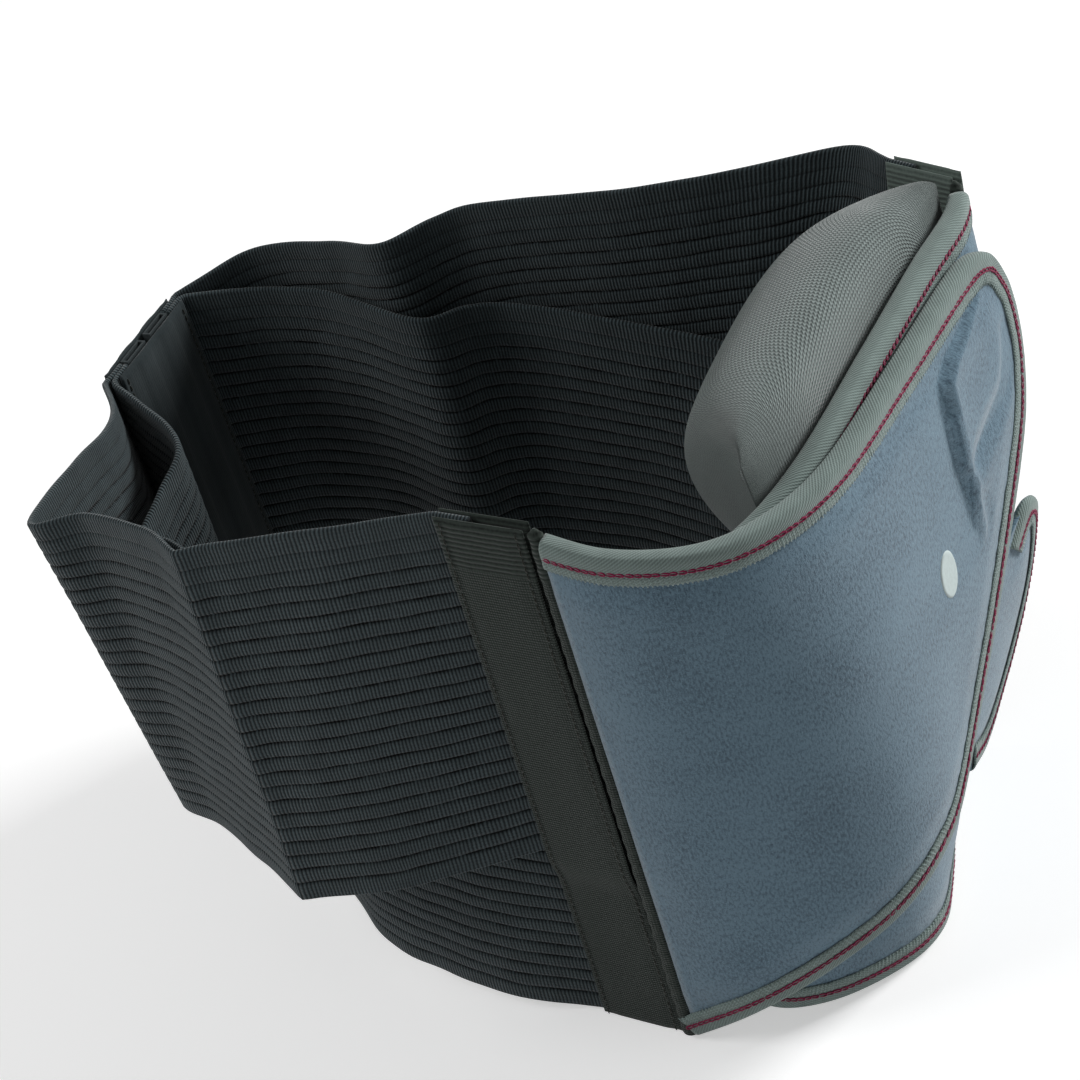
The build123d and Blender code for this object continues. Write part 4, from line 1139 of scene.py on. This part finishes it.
class BELT_OT_back_strip(BeltOperator, bpy.types.Operator):
    """Covers of the centre back, which swell over the two stays, and their rows of stitches"""

    bl_idname = "belt.back_strip"
    bl_label = "Back strip"

    def execute(self, context):
        """Cover: an upright sheet, raised by a bell curve over each stay and rounded at its edges."""
        half_width, gap = STRIP_WIDTH / 2, BAND_THICKNESS + 1.5 * LAYER_GAP
        across = np.concatenate([[-half_width, -half_width + 0.4, -half_width + 1],
                                 np.linspace(-half_width + 2, half_width - 2, 45),
                                 [half_width - 1, half_width - 0.4, half_width]])[None]
        z = np.linspace(FAN, FAN + BAND_WIDTH, 75)[:, None]
        edge = np.minimum(half_width - np.abs(across), np.minimum(z - FAN, FAN + BAND_WIDTH - z))
        over = np.exp(-((np.abs(across) - STAY_PITCH / 2) / (STAY_SPREAD * STAY_WIDTH)) ** 4)
        pull = np.exp(-((half_width - np.abs(across) - ROW_INSET) / ROW_REACH) ** 2)
        for name, sign in (("outer", 1), ("inner", -1)):
            half = STRIP_COVER / 2 * rounded(edge, 1.0)
            middle = gap + STRIP_COVER / 2
            lift = STAY_RISE * over - ROW_PULL * pull
            lift = lift + STRIP_WAVE * ripple(z + STRIP_WAVE_LEAN * across, STRIP_WAVE_PITCH, 8)
            front = strip_point(across, sign * (middle + half + lift), z)
            back = strip_point(across, sign * (middle - half), z)
            made = sheet_piece(f"back_strip_{name}_cover", front, back, pairs(across, z), material("strip"),
                               "belt", "strip", (f"back_strip_{name}",))
        rows = joined([seam_row(lambda a, b, c, e=e, s=s: strip_point(
            e + b, s * (gap + STRIP_COVER - 0.2 + c), FAN + a), BAND_WIDTH - 1, 63)
            for e in (ROW_INSET - half_width, half_width - ROW_INSET) for s in (1, -1)])
        piece("back_strip_rows", *rows, material("seam_thread"), "belt", "dark_thread",
              ("back_strip_stitching",))
        for side in ("near", "far"):
            dress(f"stay_pocket_{side}", material("strip"))
            dress(f"stay_{side}", material("stay"))
        return {"FINISHED"}


class BELT_OT_outer_flap(BeltOperator, bpy.types.Operator):
    """Outer front flap with its padding, binding and stitches"""

    bl_idname = "belt.outer_flap"
    bl_label = "Outer flap"

    def execute(self, context):
        build_flap("outer_flap", "outer_flap", OUTER, 0.0, FLARE, 200, folds=True)
        return {"FINISHED"}


class BELT_OT_under_flap(BeltOperator, bpy.types.Operator):
    """Under flap with its padding, binding and stitches"""

    bl_idname = "belt.under_flap"
    bl_label = "Under flap"

    def execute(self, context):
        build_flap("under_flap", "under_flap", UNDER, UNDER_DEPTH, PLAIN, 300)
        return {"FINISHED"}


def wall_patch(outline, depth, thick, step=1.8):
    """Grid of a patch on the wall between its outline's lower and upper edges, and its rounded thickness."""
    rows = np.array(outline, float)
    t = np.linspace(0, len(rows) - 1, max(8, int(np.ptp(rows[:, 0]) * STATION_PITCH / step)))
    station, low, high = along(rows, t).T
    v = np.linspace(0, 1, max(8, int((high - low).max() * HEIGHT / step)))
    z = HEIGHT * (low[:, None] + (high - low)[:, None] * v)
    s = station[:, None] + 0 * z
    edge = np.minimum(np.minimum(v, 1 - v)[None] * (high - low)[:, None] * HEIGHT,
                      np.minimum(s - s[0, 0], s[-1, 0] - s) * STATION_PITCH)
    half = thick / 2 * rounded(edge, thick / 2)
    return s, z, -(depth + thick / 2), half


HOOK_BASE, HOOK_SINK, HOOK_LEAN = 0.5, 0.2, 0.12  # a hook patch's sheet, how deep its hooks root, their lean
HOOK_SHAPE = np.array([(0.0, 0.20), (0.55, 0.15), (0.62, 0.34), (1.0, 0.12)])  # share of height, radius


def hook_field(s, z, outward, tall, pitch, extra, seed):
    """Moulded hooks on a patch: each is a short stem with a wider cap, six-sided, leaning its own way."""
    sides, rows = 6, HOOK_SHAPE
    turn = np.linspace(0, 2 * math.pi, sides, endpoint=False)
    stem = np.stack([rows[:, 1:] * np.cos(turn), rows[:, 1:] * np.sin(turn),
                     rows[:, :1] * tall + 0 * turn], -1).reshape(-1, 3)
    rng = np.random.default_rng(seed)
    columns = np.linspace(1, len(s) - 2, int(np.ptp(s) * STATION_PITCH / pitch))
    lines = np.linspace(1, s.shape[1] - 2, int(np.ptp(z[len(z) // 2]) / pitch))
    i, j = np.meshgrid(np.round(columns).astype(int), np.round(lines).astype(int), indexing="ij")
    i, j = i.ravel(), j.ravel()
    lean = rng.normal(0, HOOK_LEAN, (len(i), 1, 2))
    spread = stem[None] + np.concatenate([lean * stem[None, :, 2:], np.zeros((len(i), len(stem), 1))], -1)
    points = wall(s[i, j][:, None] + spread[..., 0] / STATION_PITCH, z[i, j][:, None] + spread[..., 1],
                  outward - spread[..., 2], extra)
    return points.reshape(-1, 3), repeated(tube_faces(len(rows), sides), len(stem), len(i))


class BELT_OT_patches(BeltOperator, bpy.types.Operator):
    """Hook and loop patches of the closure and of the padded insert"""

    bl_idname = "belt.patches"
    bl_label = "Hook and loop patches"

    def execute(self, context):
        """Patch: a thin sheet on the wall. A hook patch is a thinner sheet with hooks on it."""
        pitch = size_mm("hook_pitch")
        strips = [[(s, low, low + STRIP_SHARE) for s in STRIP_STATIONS] for low in STRIP_LOWS]
        rows = (("outer_hook_patch", "outer_flap", [HOOK], HOOK_DEPTH, FLARE, "hook", "hook"),
                ("pad_hook_strips", "pad", strips, PAD_HOOK_DEPTH, PLAIN, "hook", "hook"),
                ("under_loop_patch", "under_flap", [LOOP], UNDER_LOOP_DEPTH, PLAIN, "face", "loop_face"),
                ("pad_landing_strips", "under_flap", strips, LANDING_DEPTH, PLAIN, "lining", "lining"))
        for name, body, outlines, depth, extra, finish, slot in rows:
            hooked = finish == "hook"
            outward_first = name == "pad_hook_strips"
            sheets, weaves = [], []
            for seed, outline in enumerate(outlines):
                start = depth + HOOK_THICKNESS - HOOK_BASE if outward_first else depth
                s, z, middle, half = wall_patch(outline, start, HOOK_BASE if hooked else LOOP_THICKNESS)
                front, back = wall(s, z, middle + half, extra), wall(s, z, middle - half, extra)
                sheets.append((np.stack([front, back]).reshape(-1, 3), shell_faces(*s.shape)))
                weaves.append(np.tile(np.stack([s * STATION_PITCH, z], -1).reshape(-1, 2), (2, 1)))
                if hooked:
                    sign = -1 if outward_first else 1
                    tall = sign * (HOOK_THICKNESS - HOOK_BASE)
                    foot = middle - sign * HOOK_SINK
                    hooks = hook_field(s, z, foot, tall, pitch, extra, 400 + seed)
                    sheets.append(hooks)
                    weaves.append(np.zeros((len(hooks[0]), 2)))
            points, faces = joined(sheets)
            piece(f"{name}_sewn", points, faces, material(finish), body, slot, (name,),
                  np.vstack(weaves))
        return {"FINISHED"}


class BELT_OT_tab(BeltOperator, bpy.types.Operator):
    """Bound closure tab, edge to edge with the outer flap's lower free edge"""

    bl_idname = "belt.tab"
    bl_label = "Closure tab"

    def execute(self, context):
        edge = from_station(free_edge(TAB, TAB_FLARE, TAB_DEPTH - TAB_EASE), TAB_BOUND_FROM)
        sewn = [(s, low, high + (TAB_TUCK if s < TAB_BOUND_FROM else 0)) for s, low, high in TAB]
        station, height = flap_grid(sewn)
        clearance = edge_clearance(wall(station, height, -TAB_DEPTH, TAB_FLARE), edge)
        rise = TAB_PUFF * smooth_step((clearance - BINDING_WIDTH) / TAB_PUFF_REACH)
        front = wall(station, height, -TAB_DEPTH + rise, TAB_FLARE)
        back = wall(station, height, -TAB_DEPTH - TAB_THICKNESS, TAB_FLARE)
        made = sheet_piece("closure_tab_cloth", front, back, cloth_weave(station, height, edge),
                           material("face"), "outer_flap", "loop_face", ("closure_tab",))
        thick = TAB_THICKNESS + 2 * TAB_EASE
        build_binding("closure_tab", "outer_flap", edge, thick, 500)
        build_stitching("closure_tab", "outer_flap", edge, thick, 500, stands_for=False)
        return {"FINISHED"}


class BELT_OT_spot(BeltOperator, bpy.types.Operator):
    """Oval printed spot on the outer flap"""

    bl_idname = "belt.spot"
    bl_label = "Printed spot"

    def execute(self, context):
        """Spot: ovals about its middle, laid on the face as it rises, each point a little proud of it."""
        radius = np.linspace(0.02, 1, 14)[:, None] * DOT_RADIUS
        turn = np.linspace(0, 2 * math.pi, 48, endpoint=False)[None]
        pitch = np.linalg.norm(wall(DOT_STATION + 0.1, DOT_HEIGHT, 0.0, FLARE) - wall(
            DOT_STATION - 0.1, DOT_HEIGHT, 0.0, FLARE)) / 0.2
        station = DOT_STATION + SPOT_BREADTH * radius * np.cos(turn) / pitch
        height = DOT_HEIGHT + radius * np.sin(turn)
        edge = free_edge(OUTER, FLARE, 0.0)
        clearance = edge_clearance(wall(station, height, 0.0, FLARE), edge)
        rise = flap_relief(station, height, clearance, NEAR_ROOT, 200, True)
        proud = SPOT_PROUD * rounded(DOT_RADIUS - radius, SPOT_ROUND)
        top = wall(station, height, rise + proud, FLARE)
        below = wall(station, height, rise - 0.1, FLARE)
        rings = np.concatenate([top, below[::-1]])
        piece("size_dot_print", rings, tube_faces(len(rings), turn.shape[1]), material("spot"),
              "outer_flap", "spot", ("size_dot",))
        return {"FINISHED"}


# ---------------------------------------------------------------- padded insert
PAD_ROWS = [(3.40, 0.26, 0.40), (3.75, 0.70, 0.72), (4.3, 1.06, 0.94), (5.1, 1.22, 1.0),
            (5.8, 1.28, 1.0), (6.5, 1.22, 0.98), (7.15, 0.90, 0.86), (7.75, 0.42, 0.58)]
PAD_DOME = 9.0  # mm that the middle of the insert's upper side stands above its ends
PAD_BULGE = [(0, 0), (0.06, 0.24), (0.22, 0.40), (0.38, 0.60), (0.6, 0.95), (0.77, 0.95), (0.92, 0.67),
             (0.985, 0.28), (1, 0)]
PAD_ROUNDING, CLOTH_EVENING = 34, 10  # passes that round the shape, and even the cloth's movement
FILLING_FRAMES = 18  # frames of the cloth simulation
CORE_ENDS, CORE_SHARE = 5, 0.82  # rows that the foam core leaves free at each end, and its size in the cover
DART = ((3.72, 0.22), (4.45, 0.33))  # station and share of the section where the dart starts and ends
DART_DEPTH = 12.0
DART_START, DART_BREADTH = 0.28, (2.6, 2.2)  # stations that it deepens over; half breadth and what it gains
PAD_END, PAD_END_DROP = 0.11, 5.0  # share of the length that each end rounds off over, and its top's drop


def evened(grid, times):
    """A grid that is closed across its columns, each point drawn towards the mean of its neighbours."""
    for _ in range(times):
        inner = 0.5 * grid[1:-1] + 0.125 * (
            grid[2:] + grid[:-2] + (np.roll(grid, 1, 1) + np.roll(grid, -1, 1))[1:-1])
        grid = np.concatenate([grid[:1], inner, grid[-1:]])
    return grid


def pad_surface(inset, rows=84, columns=112):
    """Pillow: in each upright section the back is straight and the front a bulge scaled by how full it is.
    Sections shrink to a point at both ends by a quarter circle."""
    q = crowded(np.linspace(0, 1, rows))
    station, full, reach = along(PAD_ROWS, q * (len(PAD_ROWS) - 1)).T
    inside = np.clip(np.minimum(q, 1 - q) / PAD_END, 0, 1)
    ends = np.sqrt(np.clip(1 - (1 - inside) ** 2, 0.0004, 1))
    full = full * ends
    top = PAD_TOP - inset - (1 - ends) * PAD_END_DROP + PAD_DOME * np.sin(math.pi * q)
    low = PAD_TOP - (PAD_TOP - PAD_BOTTOM) * reach * (0.4 + 0.6 * ends) + inset
    low = np.minimum(low, top - 3)
    front_count = columns - columns // 3
    line = along(PAD_BULGE, np.linspace(0, len(PAD_BULGE) - 1, 300))
    pace = travelled(line * (1.3, 0.5))
    even = np.linspace(0, pace[-1], front_count)
    up, out = (np.interp(even, pace, line[:, k]) for k in (0, 1))
    back_up = np.linspace(1, 0, columns // 3 + 2)[1:-1]
    up = np.concatenate([up, back_up])
    out = np.concatenate([out, -0.02 * np.sin(math.pi * back_up)])
    height = low[:, None] + (top - low)[:, None] * up
    swell = np.maximum(PAD_THICKNESS * full - 2 * inset, 0.6)[:, None] * np.maximum(out, 0)
    points = wall(station[:, None] + 0 * height, height, -(PAD_DEPTH + inset) - swell)
    return evened(points, PAD_ROUNDING), station


def fill_pad(points, faces, pinned, cap):
    """Fills the pad as cloth under pressure: its points may move up to cap, and pinned ones stay."""
    context = bpy.context
    mesh = bpy.data.meshes.new("filling")
    mesh.from_pydata((points / MM).tolist(), [], faces.tolist())
    made = bpy.data.objects.new("filling", mesh)
    context.scene.collection.objects.link(made)
    group = made.vertex_groups.new(name="pin")
    for weight in np.unique(pinned[pinned > 0]):
        group.add(np.flatnonzero(pinned == weight).tolist(), float(weight), "REPLACE")
    cloth = made.modifiers.new("cloth", "CLOTH")
    settings = cloth.settings
    settings.effector_weights.gravity = 0.0
    settings.use_pressure = True
    settings.uniform_pressure_force = 4.0
    settings.quality = 6
    settings.mass = 0.25
    settings.tension_stiffness = settings.compression_stiffness = 20.0
    settings.bending_stiffness = 0.6
    settings.vertex_group_mass = "pin"
    for number in range(1, FILLING_FRAMES + 1):
        context.scene.frame_set(number)
    depsgraph = context.evaluated_depsgraph_get()
    filled = made.evaluated_get(depsgraph).to_mesh()
    result = np.zeros(len(points) * 3, np.float32)
    filled.vertices.foreach_get("co", result)
    made.evaluated_get(depsgraph).to_mesh_clear()
    bpy.data.objects.remove(made)
    bpy.data.meshes.remove(mesh)
    context.scene.frame_set(1)
    moved = result.reshape(-1, 3).astype(float) * MM - points
    size = np.linalg.norm(moved, axis=1, keepdims=True)
    return points + moved * np.minimum(1, cap / np.maximum(size, 1e-6))


class BELT_OT_pad(BeltOperator, bpy.types.Operator):
    """Padded insert with its knitted cover and foam core"""

    bl_idname = "belt.pad"
    bl_label = "Padded insert"

    def execute(self, context):
        points, station = pad_surface(1.0)
        rows, columns = points.shape[:2]
        girth = np.stack([travelled(np.vstack([section, section[:1]]))[:-1] for section in points])
        run = travelled(points.mean(1))
        front = columns - columns // 3
        v = np.arange(columns) / front
        start, end = DART
        weight = np.clip((station - start[0]) / (end[0] - start[0]), 0, 1)[:, None]
        centre = start[1] + (end[1] - start[1]) * weight
        inside = smooth_step((station - start[0] + DART_START) / DART_START) * (station < end[0])
        off = (v[None] - centre) * girth.max(1, keepdims=True) * 0.62
        breadth = DART_BREADTH[0] + DART_BREADTH[1] * weight
        deep = inside[:, None] * np.exp(-(off / breadth) ** 2) * (1 - weight) ** 0.7
        centre_line = points.mean(1, keepdims=True)
        points = points - unit(points - centre_line) * (DART_DEPTH * deep)[..., None]
        faces = tube_faces(rows, columns)
        pinned = np.clip(deep, 0, 1)
        pinned[:, front:] = 1.0
        pinned[deep < 0.05] *= (np.arange(columns) >= front)[None].repeat(rows, 0)[deep < 0.05]
        pinned = np.round(pinned.ravel(), 1)
        filled = fill_pad(points.reshape(-1, 3), faces, pinned, size_mm("pad_swell"))
        points = points + evened(filled.reshape(points.shape) - points, CLOTH_EVENING)
        weave = pairs(run[:, None], girth)
        cover = piece("pad_cover_knit", points, faces, material("pad"), "pad", "pad_knit",
                      ("pad_cover",), weave)
        subdivide = cover.modifiers.new("rounding", "SUBSURF")
        subdivide.levels = subdivide.render_levels = 1
        room = CORE_ENDS
        core_points = (centre_line + (points - centre_line) * CORE_SHARE)[room:-room]
        core = piece("pad_foam_core", core_points, tube_faces(rows - 2 * room, columns), material("foam"),
                     "pad", "foam", ("pad_foam",), weave[room:-room])
        return {"FINISHED"}


# ---------------------------------------------------------------- stage
CAMERA_TARGET = (0.0, 0.0, 110.0)  # drawing mm
CAMERA_DISTANCE = 1035.0
CAMERA_LENS, CAMERA_SENSOR = 93.333, 36.0
CAMERA_TILT, CAMERA_ROLL = math.radians(38.0), math.radians(17.3)
CAMERA_HEADING = (0.6, 0.8)  # in plan
# Lamps: name, place in m, size in m, power in W.
LAMPS = (("key", (2.0, -0.85, 1.15), 0.8, 50.0), ("fill", (-1.3, -1.5, 1.1), 1.4, 0.9),
         ("back", (-1.1, 1.0, 1.5), 1.0, 13.0))
WORLD_LIGHT, FLOOR_GLOW, PAPER = 0.15, 0.45, 0.86
FLOOR_HALF, FLOOR_DROP = 6.0, 0.0006  # m
WHITE = (1, 1, 1, 1)


def background_rays(tree):
    """1 for the rays that see the white background: camera, glossy and transmission rays."""
    path = add(tree, "LightPath").outputs
    shiny = add(tree, "Math", {"operation": "MAXIMUM"},
                {0: path["Is Glossy Ray"], 1: path["Is Transmission Ray"]}).outputs[0]
    return add(tree, "Math", {"operation": "MAXIMUM"}, {0: path["Is Camera Ray"], 1: shiny}).outputs[0]


class BELT_OT_stage(BeltOperator, bpy.types.Operator):
    """Pale floor, soft studio lamps and the camera"""

    bl_idname = "belt.stage"
    bl_label = "Stage"

    def execute(self, context):
        scene = context.scene
        east, north = CAMERA_HEADING
        ahead = Vector((east * math.cos(CAMERA_TILT), north * math.cos(CAMERA_TILT), -math.sin(CAMERA_TILT)))
        level = Vector((north, -east, 0.0))
        above = level.cross(ahead)
        right = math.cos(CAMERA_ROLL) * level - math.sin(CAMERA_ROLL) * above
        up = math.sin(CAMERA_ROLL) * level + math.cos(CAMERA_ROLL) * above
        target = Vector((np.array(CAMERA_TARGET) + SHIFT) / MM)
        eye = bpy.data.cameras.new("camera")
        eye.lens, eye.sensor_width = CAMERA_LENS, CAMERA_SENSOR
        eye.clip_start, eye.clip_end = 0.05, 20.0
        camera = bpy.data.objects.new("camera", eye)
        camera.matrix_world = Matrix((
            (right.x, up.x, -ahead.x, 0), (right.y, up.y, -ahead.y, 0), (right.z, up.z, -ahead.z, 0),
            (0, 0, 0, 1)))
        camera.location = target - ahead * CAMERA_DISTANCE / MM
        scene.collection.objects.link(camera)
        scene.camera = camera

        for name, place, size, power in LAMPS:
            lamp = bpy.data.lights.new(name, "AREA")
            lamp.size, lamp.energy = size, power
            holder = bpy.data.objects.new(name, lamp)
            holder.location = Vector(place)
            holder.rotation_euler = (Vector(place) - target).to_track_quat("Z", "Y").to_euler()
            scene.collection.objects.link(holder)

        world = bpy.data.worlds.new("studio")
        world.use_nodes = True
        tree = world.node_tree
        tree.nodes.clear()
        path = background_rays(tree)
        light = add(tree, "Background", inputs={"Color": WHITE, "Strength": WORLD_LIGHT})
        seen = add(tree, "Background", inputs={"Color": WHITE, "Strength": 1.0})
        mixed = add(tree, "MixShader", inputs={0: path, 1: light.outputs[0], 2: seen.outputs[0]})
        add(tree, "OutputWorld", inputs={0: mixed.outputs[0]})
        scene.world = world

        floor_mesh = bpy.data.meshes.new("floor")
        corners = ((-1, -1), (1, -1), (1, 1), (-1, 1))
        floor_mesh.from_pydata([(FLOOR_HALF * x, FLOOR_HALF * y, -FLOOR_DROP) for x, y in corners], [],
                               [(0, 1, 2, 3)])
        floor = bpy.data.objects.new("floor", floor_mesh)
        scene.collection.objects.link(floor)
        pale = bpy.data.materials.new("pale_paper_floor")
        pale.use_nodes = True
        tree = pale.node_tree
        tree.nodes.clear()
        paper = add(tree, "BsdfPrincipled", inputs={"Base Color": (PAPER, PAPER, PAPER, 1), "Roughness": 0.9})
        glow = add(tree, "Emission", inputs={"Color": WHITE, "Strength": FLOOR_GLOW})
        both = add(tree, "AddShader", inputs={0: paper.outputs[0], 1: glow.outputs[0]})
        path = background_rays(tree)
        shown = add(tree, "MixShader", inputs={0: path, 1: paper.outputs[0], 2: both.outputs[0]})
        add(tree, "OutputMaterial", inputs={0: shown.outputs[0]})
        floor_mesh.materials.append(pale)
        scene.view_settings.view_transform = "Standard"
        return {"FINISHED"}


class BELT_PT_build(bpy.types.Panel):
    """Lists the belt's pieces in the sidebar."""

    bl_label = "Lumbar support belt"
    bl_space_type = "VIEW_3D"
    bl_region_type = "UI"
    bl_category = "Belt"

    def draw(self, context):
        for operator in OPERATORS:
            self.layout.operator(operator.bl_idname)
        for group in (context.scene.belt_sizes, context.scene.belt_colours):
            box = self.layout.box()
            for key in group.__annotations__:
                box.prop(group, key)


OPERATORS = (BELT_OT_bands, BELT_OT_tapes, BELT_OT_seams, BELT_OT_back_strip, BELT_OT_outer_flap,
             BELT_OT_under_flap, BELT_OT_patches, BELT_OT_tab, BELT_OT_spot, BELT_OT_pad, BELT_OT_stage)
CLASSES = (BeltColours, BeltSizes, *OPERATORS, BELT_PT_build)


def register():
    for item in CLASSES:
        bpy.utils.register_class(item)
    bpy.types.Scene.belt_colours = PointerProperty(type=BeltColours)
    bpy.types.Scene.belt_sizes = PointerProperty(type=BeltSizes)


def unregister():
    del bpy.types.Scene.belt_sizes
    del bpy.types.Scene.belt_colours
    for item in reversed(CLASSES):
        bpy.utils.unregister_class(item)


def main():
    register()
    for operator in OPERATORS:
        group, name = operator.bl_idname.split(".")
        getattr(getattr(bpy.ops, group), name)()


if __name__ == "__main__":
    main()
